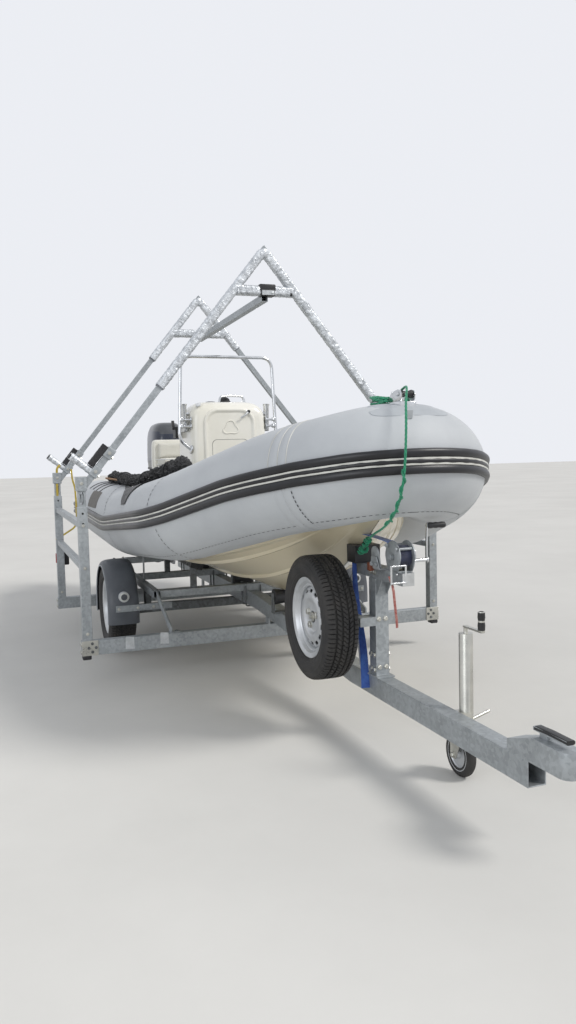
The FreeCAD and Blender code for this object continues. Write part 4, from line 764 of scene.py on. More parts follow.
def soft_corners(corners, reach=0.25):
    """A rounded outline through corners of (s, angle); DEGREE is a degree's length on the skin."""
    pts = [V(s, a * DEGREE, 0) for s, a in corners]
    out = []
    for i, p in enumerate(pts):
        out += bend(p.lerp(pts[i - 1], reach), p, p.lerp(pts[(i + 1) % len(pts)], reach), 8)
    full = []
    for a, b in zip(out, out[1:] + out[:1]):
        m = max(1, round((b - a).length / 60))
        full.extend(a.lerp(b, j / m) for j in range(m))
    return [(p.x, p.y / DEGREE) for p in full]


mid = TUBE_END / 2
make("bow_patch", tube_patch(soft_corners([(mid - 118, 88), (mid + 118, 88), (mid + 112, 50), (mid - 112, 50)]),
                             2.2, wrinkle=1.6, seed=3.0), PATCH)
make("bow_tab", tube_patch(soft_corners([(mid - 20, 58), (mid - 4, 58), (mid - 20, 44.5), (mid - 35, 44.5)], 0.12),
                           3.4), TAB)
make("stern_patches", join(*[tube_patch(soft_corners([(f(880), 50), (f(1400), 52), (f(1600), 19), (f(1060), 16)],
                                                     0.1), 3.0) for f in ENDS]),
     DARK_PATCH)
slats = [strip([(s, 51 + 55 * j / 16) for j in range(17)], ((-17, 0.5), (-13, 5), (13, 5), (17, 0.5)), end)
         for end in ENDS for s in (500, 740, 980, 1220)]
make("stern_slats", join(*slats), RUBBER)

# Rubbing strake: outlines as (out, up) from the tube's middle


def strake_sweep(outline, s0, s1):
    rings = []
    count = int((s1 - s0) / 42)
    for i in range(count + 1):
        s = s0 + (s1 - s0) * i / count
        p, side, up, _ = tube_frame(s)
        r = tube_radius(s)
        fade = min(1.0, (s - s0 + 12) / 60, (s1 - s + 12) / 60)
        ring = []
        for o, u in outline:
            base = sqrt(max(r * r - u * u, 1)) if o < 5 else r
            ring.append(p + side * (base + (o if o >= 5 else o - 6) * fade) + up * u * (0.6 + 0.4 * fade))
        rings.append(ring)
    return rings


half = [(3, 56), (9, 54.5), (14.5, 50), (17.5, 43), (18, 36), (16.5, 28), (13, 21), (9, 17.5), (8.2, 16.8),
        (8.2, 9.6), (9.5, 9.2), (12.5, 6.4), (13.5, 3)]
band = half + [(o, -u) for o, u in reversed(half)] + [(-8, -30), (-8, 30)]
STRAKE_S = (-170.0, TUBE_END + 170.0)
make("strake_band", loft(strake_sweep(band, *STRAKE_S)), STRAKE, replaces=("rubbing_strake",),
     sharp=32)
lines = []
for sign in (1, -1):
    line = [(8.0, sign * 7.6), (10.4, sign * 8.0), (10.4, sign * 16.2), (8.0, sign * 16.6)]
    lines.append(loft(strake_sweep(line, STRAKE_S[0] + 4, STRAKE_S[1] - 4), False, False))
make("strake_lines", join(*lines), LINE_WHITE)

# Hull: a deep V with spray rails and chine flats. Stations from stern to bow: x, height of
# the keel, half width and height of the chine, half width and height of the top

HULL = ((-2150, 532, 640, 745, 700, 792), (300, 532, 640, 745, 700, 792), (1200, 540, 600, 800, 660, 850),
        (1750, 640, 480, 890, 560, 960), (2200, 835, 300, 1010, 400, 1080), (2620, 1120, 90, 1180, 180, 1215))


def eased(x, column):
    """A column of the hull's table at x, on a smooth line forward of the straight part."""
    xs = [row[0] for row in HULL]
    ys = [row[column] for row in HULL]
    if x <= xs[1]:
        return ys[0]
    slopes = [(ys[i + 1] - ys[i]) / (xs[i + 1] - xs[i]) for i in range(len(xs) - 1)]
    tan = [0.0, 0.0] + [(slopes[i - 1] + slopes[i]) / 2 for i in range(2, len(xs) - 1)] + [slopes[-1]]
    i = min(max(k for k in range(len(xs)) if xs[k] <= x), len(xs) - 2)
    h = xs[i + 1] - xs[i]
    t = (x - xs[i]) / h
    return ((2 * t ** 3 - 3 * t * t + 1) * ys[i] + (t ** 3 - 2 * t * t + t) * h * tan[i]
            + (-2 * t ** 3 + 3 * t * t) * ys[i + 1] + (t ** 3 - t * t) * h * tan[i + 1])


def hull_half(x):
    """Half outline of the hull at x, from the keel out to the gunwale."""
    keel, half, chine, top_half, top = [eased(x, c) for c in range(1, 6)]
    slope = (chine - keel) / half
    thin = min(1.0, half / 500.0)
    out = [(0, keel), (10 * thin, keel)]

    def rail(share):
        y = half * share
        base = keel + slope * y
        d = thin * min(1.0, max(0.0, (2380 - x) / 320))
        return [(y - 26 * thin, base - 26 * thin * slope), (y - 24 * thin, base - 25 * thin * slope - 3 * d),
                (y, base - 13 * d - 9 * d * slope), (y + 3 * thin, base + 3 * thin * slope - 13 * d),
                (y + 4 * thin, base + 4 * thin * slope)]
    out += [(half * 0.2, keel + slope * half * 0.2)]
    out += rail(0.43)
    out += [(half * 0.62, keel + slope * half * 0.62)]
    out += rail(0.83)
    out += [(half - 30 * thin, chine - slope * 30 * thin), (half - 27 * thin, chine - slope * 30 * thin - 5 * thin),
            (half + 12 * thin, chine - 14 * thin), (half + 18 * thin, chine - 8 * thin),
            (half + 20 * thin, chine + 6 * thin)]
    out += [(half * 0.45 + top_half * 0.55, chine * 0.45 + top * 0.55), (top_half, top)]
    return out


rings = []
for x in [-2150 + 49 * k for k in range(51)] + [330 + 38 * k for k in range(60)] + [2600, 2620]:
    half = hull_half(x)
    rings.append([V(x, y, z) for y, z in half] + [V(x, -y, z) for y, z in reversed(half[1:])])
nose = [V(2642, v.y * 0.55, 1150 + (v.z - 1150) * 0.7) for v in rings[-1]]
verts, faces = join(loft(rings, False, False), loft([rings[-1], nose], False, False))
stern = [V(-2150, v.y, v.z) for v in rings[0]]
ends = [tuple(range(len(verts) - len(nose), len(verts))),
        tuple(reversed(range(len(verts), len(verts) + len(stern))))]
make("hull_shell", (verts + stern, faces + ends), GEL, replaces=("hull",), sharp=24)
dress(DECK, 0, "deck")
make("keel_strip", sweep([V(x, 0, eased(x, 1) - 1.5) for x in [-2140 + 60 * k for k in range(78)] if x < 2480],
                         oblong(22, 7, 2.5), UP), STEEL)
make("bow_eye", join(
    pipe([V(2350 + 34 * cos(a), 0, 985 + 26 * sin(a)) for a in
          [radians(-150 + 20 * k) for k in range(13)]], 6, 10),
    turned((2330, 0, 985), (-1, 0, 0.9), [(22, 0), (22, 5), (16, 8)], 24)), STEEL)
dress(GEL, 0, "transom")
make("transom_cap", join(
    bar((-2120, -556, 1052), (-2120, -150, 1052), 74, 18, 7), bar((-2120, 150, 1052), (-2120, 556, 1052), 74, 18, 7),
    *[turned((-2151, y, 900), AFT, [(26, 0), (26, 6), (19, 9), (10, 9)], 28)
      for y in (-330, -270, 300)]), TRIM)

# Console: rows of height, front, rear, half width and corner radius


def plan_ring(front, rear, half, r, z):
    """A rounded rectangle seen from above, at height z."""
    return [V((front + rear) / 2 + a, b, z) for a, b in oblong(front - rear, 2 * half, r, 6)]


rows = [(804, 60, -460, 300, 46), (900, 58, -459, 300, 48), (1200, 50, -454, 300, 52), (1500, 41, -444, 300, 58),
        (1615, 37, -440, 300, 60), (1650, 36, -415, 300, 62), (1700, 34, -374, 299, 66), (1740, 30, -340, 294, 70),
        (1770, 22, -316, 283, 76), (1795, 8, -296, 266, 84), (1812, -10, -280, 246, 90), (1823, -32, -264, 222, 94),
        (1829, -56, -248, 196, 92), (1831, -90, -230, 150, 60), (1831.5, -130, -200, 80, 30)]
make("console_shell", loft([plan_ring(f, r, h, c, z) for z, f, r, h, c in rows]), CONSOLE_GEL,
     replaces=("console",), sharp=42)
# The front face: x and height of its foot, how far it leans back and how far it rises
FACE_X, FACE_Z, FACE_LEAN, FACE_RISE = 60, 804, 30, 966
FACE = V(-FACE_LEAN, 0, FACE_RISE).normalized()
FACE_OUT = V(FACE.z, 0, -FACE.x)


def on_face(y, z, lift=0.0):
    """A point on the console's front face."""
    return V(FACE_X - FACE_LEAN * (z - FACE_Z) / FACE_RISE, y, z) + FACE_OUT * lift


def face_outline(half, low, high, r):
    """A panel's outline on the face: corners of radius r above and 30 below."""
    return (arc(half - r, high - r, r, 0, 8) + arc(-half + r, high - r, r, 90, 8)
            + arc(-half + 30, low + 30, 30, 180, 4) + arc(half - 30, low + 30, 30, 270, 4))


panel = [[on_face(y, z, lift) for y, z in face_outline(half, low, high, r)] for half, low, high, r, lift in (
    (207, 918, 1777, 112, -6), (205, 920, 1775, 110, 8), (199, 926, 1769, 106, 13.5), (190, 935, 1760, 100, 14),
    (184, 941, 1754, 96, 11.5), (176, 949, 1746, 90, 4.5), (168, 957, 1738, 84, 4), (120, 1010, 1690, 60, 4.2))]
make("console_panel", loft(panel), CONSOLE_GEL, sharp=50)


def tri_ring(f, lift):
    """A soft three-cornered ring on the face, f of its full size."""
    pts = []
    for k in range(42):
        a = tau * k / 42 + pi / 2
        r = 44 * f * (1 + 0.2 * cos(3 * (a - pi / 2)))
        pts.append(on_face(6 - r * cos(a) * 1.16, 1624 + r * sin(a), lift))
    return pts


make("console_vent", loft([tri_ring(f, lift) for f, lift in ((1.2, 3.5), (1.16, 8.5), (1.06, 9.5), (0.98, 6.0),
                                                             (0.9, -2.0), (0.55, -2.6))]), CONSOLE_GEL)
make("console_fittings", join(
    turned((2, -238, 1806), (0.62, -0.45, 0.9), [(21, -6), (21, 2), (17, 5), (8, 6)], 28),
    turned(on_face(150, 1748, 14), FACE_OUT, [(14, -10), (14, 3), (9, 5)], 24),
    pipe(smooth([on_face(150, 1748, 18), on_face(118, 1722, 34), on_face(84, 1700, 24)], 5), 7, 12)),
    TRIM)
make("console_knobs", join(
    turned(on_face(152, 1750, 16), FACE_OUT, [(11, 0), (12, 8), (8, 13)], 20),
    *[turned(on_face(y, 985, 4.5), FACE_OUT, [(9, 0), (9, 3), (6, 4.5)], 18)
      for y in (-130, 130)]), PLASTIC)

# Grab rail, compass, hatch seam, dash and gauges
grab = smooth([V(-150, -30, 1826), V(-158, -14, 1872), V(-172, 30, 1884), V(-190, 120, 1886), V(-196, 178, 1878),
               V(-190, 196, 1826)], 6)
make("console_grab_rail", join(pipe(grab, 9, 14),
                               *[turned((x, y, 1826), UP, [(24, 0), (24, 5), (14, 9)], 24)
                                 for x, y in ((-150, -32), (-190, 197))]), STEEL)
make("console_compass", join(
    turned((-232, 40, 1816), (-0.25, 0, 1), [(58, 0), (58, 14), (50, 24), (44, 28)], 40),
    turned((-232, 40, 1842), (-0.25, 0, 1), [(44, 0), (42, 14), (34, 26), (20, 34), (3, 37)], 36)),
    PLASTIC)
make("console_hatch_seam", loft([[on_face(y, z, 4.6) for y, z in face_outline(168 - d, 957 + d, 1560 - d, 40)]
                                 for d in (22, 24.5)], True, False), PLASTIC)
dash = [V(-452, -210, 1608), V(-452, 210, 1608), V(-286, 210, 1806), V(-286, -210, 1806)]
dash_out = V(-198, 0, 166).normalized()
make("console_dash", slab([p + dash_out * -2 for p in dash], dash_out * 9, 3), PLASTIC)
gauges = []
for y, up in ((-150, 0.62), (-60, 0.66), (60, 0.66), (150, 0.62), (-150, 0.3), (150, 0.3)):
    at = V(-452, y, 1608).lerp(V(-286, y, 1806), up) + dash_out * 6
    gauges.append(turned(at, dash_out, [(34, 0), (34, 7), (30, 9), (28, 5), (3, 4.5)], 36))
make("console_gauges", join(*gauges), STEEL)
dress(PLASTIC, 0, "helm_boss", "throttle")

# Hoop round the console, its brackets and the rod holders

hoop = rounded([(0, -306, 1470), (0, -390, 1540), (0, -362, 2170), (0, 362, 2170), (0, 390, 1540),
                (0, 306, 1470)], 88, 10)
hoop_parts = [pipe(refined(hoop, 40), 12.6, 20)]
for sign in (-1, 1):
    hoop_parts.append(turned((0, sign * 298, 1466), (0, sign, 0.15), [(34, -2), (34, 6), (26, 10), (16, 12)], 32))
    for z in (1640, 1690):
        hoop_parts.append(rod((0, sign * 296, z), (0, sign * 384, z), 9, 16))
        hoop_parts.append(turned((0, sign * 297, z), (0, sign, 0), [(26, 0), (26, 5), (15, 8)], 28))
        hoop_parts.append(turned((0, sign * 374, z), UP, [(17, -16), (18, -14), (18, 14), (17, 16)], 24))
for x, sign in ((-60, -1), (-118, -1), (-60, 1)):
    top = V(x - 12, sign * 336, 1812)
    foot = V(x, sign * 328, 1602)
    hoop_parts.append(turned(foot, top - foot, [(21, 0), (22, 3), (22, 190), (27, 206), (28, 212), (24, 212),
                                                (19, 200), (19, 20)], 28, caps=False))
    hoop_parts.append(rod((x, sign * 296, 1640), (x, sign * 318, 1640), 12, 16))
    hoop_parts.append(rod((x, sign * 296, 1740), (x, sign * 322, 1740), 12, 16))
make("hoop_tube", join(*hoop_parts), STEEL, replaces=("console_rail",), sharp=40)

# Steering wheel

WS, WU, WA = basis((cos(radians(30)), 0, -sin(radians(30))))
WHEEL_C = V(-585, 0, 1715)


def wheel_at(a, r, h=0.0):
    return WHEEL_C + ray(WS, WU, a) * r + WA * h


rim_path = [wheel_at(tau * k / 60, 157) for k in range(61)]
rim_radius = [13 + 0.9 * abs(sin(10 * tau * k / 60)) for k in range(61)]
make("helm_rim", pipe(rim_path, rim_radius, 16, False), PLASTIC, body="helm", sharp=60)
spokes = []
for i in range(3):
    a = pi / 2 + tau * i / 3
    for off in (-10, 10):
        side = (WU * cos(a) - WS * sin(a)) * off
        spokes.append(sweep([wheel_at(a, 30, 4) + side, wheel_at(a, 90, -3) + side * 0.9,
                             wheel_at(a, 152, 0) + side * 0.7], oblong(7, 5, 2.2), WA))
spokes.append(turned(WHEEL_C + WA * 12, -WA, [(46, -16), (46, 4), (40, 12), (28, 17), (6, 19)], 40))
spokes.append(rod(WHEEL_C + WA * 14, WHEEL_C + WA * 94, 13, 20))
make("helm_spokes", join(*spokes), STEEL, body="helm", replaces=("steering_wheel",))

# Seat pod, its back and the cushions

seat_rows = [(804, -960, -1400, 345, 34), (1100, -962, -1399, 345, 38), (1290, -964, -1398, 343, 44),
             (1318, -968, -1397, 339, 46), (1330, -980, -1392, 328, 44), (1331, -1010, -1380, 300, 30)]
make("seat_pod_shell", loft([plan_ring(f, r, h, c, z) for z, f, r, h, c in seat_rows]), CONSOLE_GEL,
     replaces=("seat_pod",), sharp=42)
back = []
for z, thick, half, r in ((1300, 92, 344, 30), (1420, 84, 344, 32), (1520, 76, 342, 34), (1550, 70, 336, 34),
                          (1564, 58, 326, 28), (1570, 38, 306, 18)):
    back.append(plan_ring(-1400 + 92 - (92 - thick) * 0.6, -1400 + (92 - thick) * 0.4, half, r, z))
make("seat_back_shell", loft(back), CONSOLE_GEL, sharp=42)


def puffed(obj, cap, low):
    """Fills a form with the cloth solver: no point moves by more than cap, none sinks under low."""
    remesh = obj.modifiers.new("voxels", "REMESH")
    remesh.mode = "VOXEL"
    remesh.voxel_size = 0.009
    graph = bpy.context.evaluated_depsgraph_get()
    mesh = bpy.data.meshes.new_from_object(obj.evaluated_get(graph))
    obj.modifiers.clear()
    old = obj.data
    obj.data = mesh
    bpy.data.meshes.remove(old)
    obj.data.name = obj.name
    rest = [v.co.copy() for v in mesh.vertices]
    cloth = obj.modifiers.new("cloth", "CLOTH")
    cloth.settings.use_pressure = True
    cloth.settings.uniform_pressure_force = 4.0
    cloth.settings.effector_weights.gravity = 0.0
    cloth.settings.quality = 4
    cloth.point_cache.frame_start = 1
    cloth.point_cache.frame_end = 16
    scene = bpy.context.scene
    for f in range(1, 17):
        scene.frame_set(f)
    graph = bpy.context.evaluated_depsgraph_get()
    filled = [v.co.copy() for v in obj.evaluated_get(graph).data.vertices]
    obj.modifiers.clear()
    for v, a, b in zip(mesh.vertices, rest, filled):
        move = b - a
        if move.length > cap:
            move = move.normalized() * cap
        v.co = a + move
        v.co.z = max(v.co.z, low)
    scene.frame_set(1)


def cushioned(name, x0, x1, y0, y1, z0, z1, depth, cap):
    """A padded form: a rounded block filled by the cloth solver, with its seams put on after."""
    geo = block(x0, x1, y0, y1, z0, z1, min(x1 - x0, y1 - y0, z1 - z0) * 0.3, 4)
    obj = make(name, geo, CUSHION, sharp=70)
    puffed(obj, cap, z0 / 1000)
    mesh = obj.data
    for v in mesh.vertices:
        for seam in (-0.17, 0.0, 0.17):
            d = abs(v.co.y - (y0 + y1) / 2000 - seam * (y1 - y0) / 640)
            if d < 0.012 and v.co.z > (z0 + z1) / 2000:
                v.co.z -= depth / 1000 * (1 - d / 0.012) ** 2
    mesh.materials.clear()
    mesh.materials.append(CUSHION)
    mesh.shade_smooth()
    sub = obj.modifiers.new("subdivision", "SUBSURF")
    sub.levels = sub.render_levels = 1
    return obj


seat = cushioned("seat_pad", -1292, -957, -323, 323, 1331, 1390, 10.0, 0.014)
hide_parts("seat_cushion")
backrest = cushioned("seat_back_pad", -1312, -1286, -300, 300, 1400, 1545, 0.0, 0.006)


def piping(x0, x1, y0, y1, z, r=22):
    pts = [V((x0 + x1) / 2 + a, (y0 + y1) / 2 + b, z) for a, b in oblong(x1 - x0, y1 - y0, r, 6)]
    return pipe(pts + pts[:1], 3.2, 8, False)


make("seat_pad_piping", join(piping(-1294, -955, -325, 325, 1342), piping(-1292, -957, -323, 323, 1388, 26)),
     TRIM)

# Outboard engine: the hood's middle and half sizes, the leg's middle, the shaft and the two axes

HOOD_X, HOOD_LONG, HOOD_WIDE, COWL_Z = -2375, 285, 165, 1290.0
LEG_X, SHAFT_Z, PROP_X = -2415, 352, -2560
TILT_X, TILT_Z, SWIVEL_X = -2235, 1085, -2300


def squared(a, power):
    """x and y at angle a of an outline between a circle and a square."""
    c, s = cos(a), sin(a)
    return copysign(abs(c) ** (2 / power), c), copysign(abs(s) ** (2 / power), s)


def cowl_ring(z, long_share, wide_share, dx, power, droop=0.0):
    ring = []
    for k in range(56):
        x, y = squared(tau * k / 56, power)
        x = x * HOOD_LONG * long_share
        ring.append(V(HOOD_X + dx + x, y * HOOD_WIDE * wide_share, z + droop * x / HOOD_LONG))
    return ring


# Rows of the hood: height, share of its length and width, shift, squareness, droop
cowl_rows = [(0, 0.955, 0.93, 0, 4.2, 0), (16, 0.975, 0.955, 0, 4.2, 0), (90, 0.995, 0.99, 0, 4.0, 0),
             (180, 1.0, 1.0, 0, 3.8, 2), (290, 0.99, 0.985, 0, 3.6, 4), (350, 0.965, 0.95, -3, 3.4, 7),
             (400, 0.92, 0.9, -6, 3.2, 9), (436, 0.85, 0.82, -11, 3.0, 10), (458, 0.74, 0.70, -16, 2.9, 10),
             (468, 0.60, 0.56, -20, 2.8, 9), (472, 0.36, 0.32, -22, 2.6, 8)]
make("engine_hood", loft([cowl_ring(COWL_Z + z, a, b, d, p, w) for z, a, b, d, p, w in cowl_rows]), COWL,
     body="engine", replaces=("engine_cowl",), sharp=50)
make("engine_hood_trim", loft([cowl_ring(COWL_Z + z, a, b, 0, 4.2) for z, a, b in (
    (-6, 0.965, 0.945), (-4, 1.0, 0.985), (14, 1.0, 0.985), (18, 0.978, 0.96))], True, False),
    PLASTIC, body="engine")


def cowl_skin(z, a, lift):
    """A point on the hood's side at height z and angle a, lifted off it."""
    for (z0, l0, w0, d0, p0, _), (z1, l1, w1, d1, p1, _) in zip(cowl_rows, cowl_rows[1:]):
        if z0 <= z <= z1:
            k = (z - z0) / (z1 - z0)
            l, w, d, p = [u + (v - u) * k for u, v in ((l0, l1), (w0, w1), (d0, d1), (p0, p1))]
            break
    x, y = squared(a, p)
    return V(HOOD_X + d + x * (HOOD_LONG * l + lift), y * (HOOD_WIDE * w + lift), COWL_Z + z)


def cowl_band(z0, z1, a0, a1, lift):
    """A band on the hood in 6 rows of 40, its edges let into the skin."""
    rows = []
    for i in range(7):
        up = lift if 0 < i < 6 else -0.6
        rows.append([cowl_skin(z0 + (z1 - z0) * i / 6, a0 + (a1 - a0) * j / 40,
                               up if 0 < j < 40 or a1 - a0 > 6 else -0.6) for j in range(41)])
    return loft(rows, False, False)


make("engine_band", join(cowl_band(284, 398, -2.2, 2.2, 2.0), cowl_band(60, 120, 0.5, 2.6, 1.6),
                         cowl_band(60, 120, -2.6, -0.5, 1.6)), NAVY, body="engine")
make("engine_stripes", cowl_band(250, 274, -1.25, 1.25, 1.8), TRIM,
     body="engine")
make("engine_scoop", loft([[V(HOOD_X + x, y, COWL_Z + z) for x, y, z in ring] for ring in (
    [(-210, -90, 430), (-210, 90, 430), (-150, 90, 462), (-150, -90, 462)],
    [(-238, -74, 432), (-238, 74, 432), (-176, 74, 466), (-176, -74, 466)],
    [(-236, -60, 436), (-236, 60, 436), (-184, 60, 460), (-184, -60, 460)],
    [(-214, -56, 430), (-214, 56, 430), (-170, 56, 452), (-170, -56, 452)])]), PLASTIC, body="engine")
make("engine_pan", loft([cowl_ring(COWL_Z + z, a, b, d, 3.4) for z, a, b, d in (
    (-104, 0.52, 0.46, 6), (-88, 0.66, 0.62, 2), (-52, 0.84, 0.82, 0), (-14, 0.93, 0.92, 0), (-6, 0.94, 0.93, 0))]),
    LEG, body="engine")


def blade_section(x, z, front, rear, half):
    """A streamlined outline: round in front, thin behind."""
    ring = []
    for k in range(24):
        t = k / 12 if k < 12 else 2 - k / 12
        w = half * (2.2 * sqrt(max(t, 0)) * (1 - t) + 0.22 * t * (1 - t) * 2 + 0.04 * (1 - t))
        ring.append(V(x + front - (front + rear) * t, w if k < 12 else -w, z))
    return ring


def foil(x, rows):
    """Streamlined outlines over each other: rows of (z, front, rear, half width)."""
    return loft([blade_section(x, *row) for row in rows])


# Rows of the leg: height, front, rear, half width, shift
leg_rows = [(1205, 58, 176, 84, -32), (1150, 60, 150, 70, -22), (1080, 60, 122, 58, -14), (1000, 60, 108, 52, -10),
            (860, 60, 110, 46, -6), (700, 62, 118, 40, -2), (600, 66, 132, 34, 0), (546, 74, 150, 32, 0)]
make("engine_midsection", loft([blade_section(LEG_X + dx, z, f, r, h) for z, f, r, h, dx in reversed(leg_rows)]),
     LEG, body="engine", sharp=60)
make("engine_plates", join(
    foil(LEG_X, ((524, 108, 226, 96), (530, 116, 234, 104), (537, 116, 234, 104), (541, 108, 226, 96))),
    foil(LEG_X, ((596, 82, 150, 52), (600, 88, 156, 58), (606, 82, 150, 52)))),
    LEG, body="engine", replaces=("engine_leg",), sharp=50)
make("engine_gearcase", join(
    foil(LEG_X + 15, ((SHAFT_Z, 54, 120, 30), (430, 58, 118, 26), (528, 72, 130, 30))),
    turned((-2500, 0, SHAFT_Z), FORE, [(40, -2), (47, 6), (51, 40), (52, 110), (51, 180), (46, 230), (36, 275),
                                            (22, 312), (8, 332), (1, 337)], 40),
    slab([(-2338, -5, 318), (-2372, -5, 238), (-2436, -5, 198), (-2505, -5, 196), (-2490, -5, 316)], V(0, 10, 0), 3),
    rod((-2612, 0, SHAFT_Z), (-2490, 0, SHAFT_Z), 11, 20)), LEG, body="engine", sharp=50)
make("engine_arms", join(
    block(-2440, -2268, -68, 68, 1152, 1226, 14, 3), block(-2412, -2272, -33, 33, 742, 792, 12, 3),
    rod((SWIVEL_X, 0, 772), (SWIVEL_X, 0, 1255), 17.8, 24, 2),
    *[bolt((-2352, s * 68, 1188), (0, s, 0), 13) for s in (-1, 1)]), LEG, body="engine")
make("engine_inlets", join(*[block(-2396 + 13 * k, -2390 + 13 * k, s * 29 - 3, s * 29 + 3, 452, 500, 1.5)
                             for k in range(5) for s in (-1, 1)]), PLASTIC, body="engine")
anode = turned((-2560, 0, 505), (0.3, 0, -1), [(16, -18), (20, -12), (20, 12), (14, 18)], 20)
make("engine_anode", join(anode, turned((SWIVEL_X, 0, 744), UP, [(30, -8), (34, 0), (34, 8), (28, 12)], 28)), ZINC,
    body="engine")

# The clamp's side plate, seen from starboard, and what it carries
plate = [(-2150, 800), (-2150, 1052), (-2088, 1052), (-2088, 946), (-2066, 940), (-2066, 1062), (-2082, 1084),
         (-2130, 1094), (-2188, 1112), (-2212, 1121), (-2238, 1124), (-2262, 1114), (-2272, 1092), (-2266, 1058),
         (-2246, 1020), (-2214, 940), (-2190, 820), (-2182, 800)]
clamp_parts = [slab([(x, s * 120 - 14, z) for x, z in plate], V(0, 28, 0), 4) for s in (-1, 1)]
for s in (-1, 1):
    clamp_parts.append(rod((-2060, s * 120, 985), (-2030, s * 120, 985), 9, 16))
    clamp_parts.append(turned((-2086, s * 120, 985), FORE, [(24, -4), (24, 2), (12, 6)], 24))
    clamp_parts.append(rod((-2034, s * 120 - 34, 985), (-2034, s * 120 + 34, 985), 5, 12))
    for z in (832, 876):
        clamp_parts.append(bolt((-2186, s * 120, z), AFT, 11))
clamp_parts.append(rod((TILT_X, -146, TILT_Z), (TILT_X, 146, TILT_Z), 14, 24, 2))
for s in (-1, 1):
    clamp_parts.append(turned((TILT_X, s * 134, TILT_Z), (0, s, 0), [(24, 0), (24, 9), (18, 14)], 6))
make("engine_clamp_bracket", join(*clamp_parts), LEG, replaces=("engine_clamp",), sharp=40)
swivel = [turned((TILT_X, 0, TILT_Z), PORT, [(14.6, -98), (30, -98), (31, -94), (31, -60), (26, -54), (26, 54),
                                               (31, 60), (31, 94), (30, 98), (14.6, 98)], 32, True),
          turned((SWIVEL_X, 0, 803), UP, [(18.6, -3), (35, -3), (37, 2), (36, 30), (33, 60), (33, 280), (36, 310),
                                              (37, 336), (34, 342), (18.6, 342)], 32, True),
          slab([(SWIVEL_X, -40, 985), (-2252, -40, 985), (-2238, -40, 1058), (-2262, -40, 1112), (SWIVEL_X, -40, 1112)],
               V(0, 80, 0), 8)]
make("engine_swivel_bracket", join(*swivel), LEG, body="engine_bracket", replaces=("engine_swivel",),
     sharp=40)

# Propeller: three swept blades


def prop_blade(turn):
    """A swept blade, turned about the shaft by an angle."""
    rings = []
    for i in range(15):
        f = i / 14
        r = 38 + 126 * f
        chord = sin(pi * min(0.5 + 0.62 * f, 1.0)) ** 0.45
        if f >= 0.8:
            chord *= sqrt(max(1 - (f - 0.8) ** 2 * 20, 0.06))
        chord *= 118
        pitch = atan2(62, r)
        row = []
        for j in range(17):
            u = j / 16 - 0.5
            a = turn + u * chord * cos(pitch) / r + 0.34 * f * f
            x = PROP_X + 10 + u * chord * sin(pitch) - 26 * f * f
            row.append((x, r * sin(a), SHAFT_Z + r * cos(a), 4.2 * (1 - 0.75 * f) * (1 - (2 * u) ** 2) + 0.7))
        rings.append([V(x + t, y, z) for x, y, z, t in row] + [V(x - t, y, z) for x, y, z, t in reversed(row)])
    return loft(rings)


make("prop_blades", join(*[prop_blade(tau * i / 3) for i in range(3)],
                         turned((-2604, 0, SHAFT_Z), FORE, [
                             (11.4, 0), (36, 0), (39, 4), (42, 30), (42, 96), (38, 108), (30, 108), (29, 100),
                             (11.4, 100)], 40, True),
                         block(-2590, -2530, -2, 2, SHAFT_Z + 24, SHAFT_Z + 38, 1),
                         turned((-2606, 0, SHAFT_Z), AFT, [(10, -6), (16, -4), (16, 6), (10, 12)], 6)),
     ALLOY, body="prop", replaces=("propeller",), sharp=50)

# Bow fairlead with its roller

TOP = TUBE_LINE[-1][2] + TUBE_R
fair = [block(2730, 2870, -42, 42, TOP - 22, TOP + 6, 3)]
for s in (-1, 1):
    pts = [(2758, TOP + 4), (2752, TOP + 22), (2770, TOP + 44), (2806, TOP + 56), (2838, TOP + 61), (2862, TOP + 56),
           (2874, TOP + 40), (2870, TOP + 20), (2860, TOP + 4)]
    fair.append(slab([(x, s * 34 - 2.5, z) for x, z in pts], V(0, 5, 0), 1.5))
    fair.append(turned((2845, s * 37, TOP + 40), (0, s, 0), [(12, -2), (12, 4), (8, 7)], 6))
    for x in (2742, 2752):
        fair.append(turned((x, s * 26, TOP + 6), UP, [(8, 0), (7, 3), (3, 5)], 18))
fair.append(rod((2775, -34, TOP + 50), (2775, 34, TOP + 50), 5, 14))
make("fairlead_cheeks", join(*fair), STEEL, replaces=("bow_fairlead",), sharp=40)
make("fairlead_roller", turned((2845, 0, TOP + 40), PORT, [(6, -31), (18, -31), (19, -27), (15, -14), (13.5, 0),
                                                               (15, 14), (19, 27), (18, 31), (6, 31)], 32, caps=False),
     PLASTIC)

# Rolled cover on the starboard tube, its loose flap and the stick in it

COVER_LINE = ((-1750, -650, 1233), (-200, -660, 1223), (1400, -664, 1365))


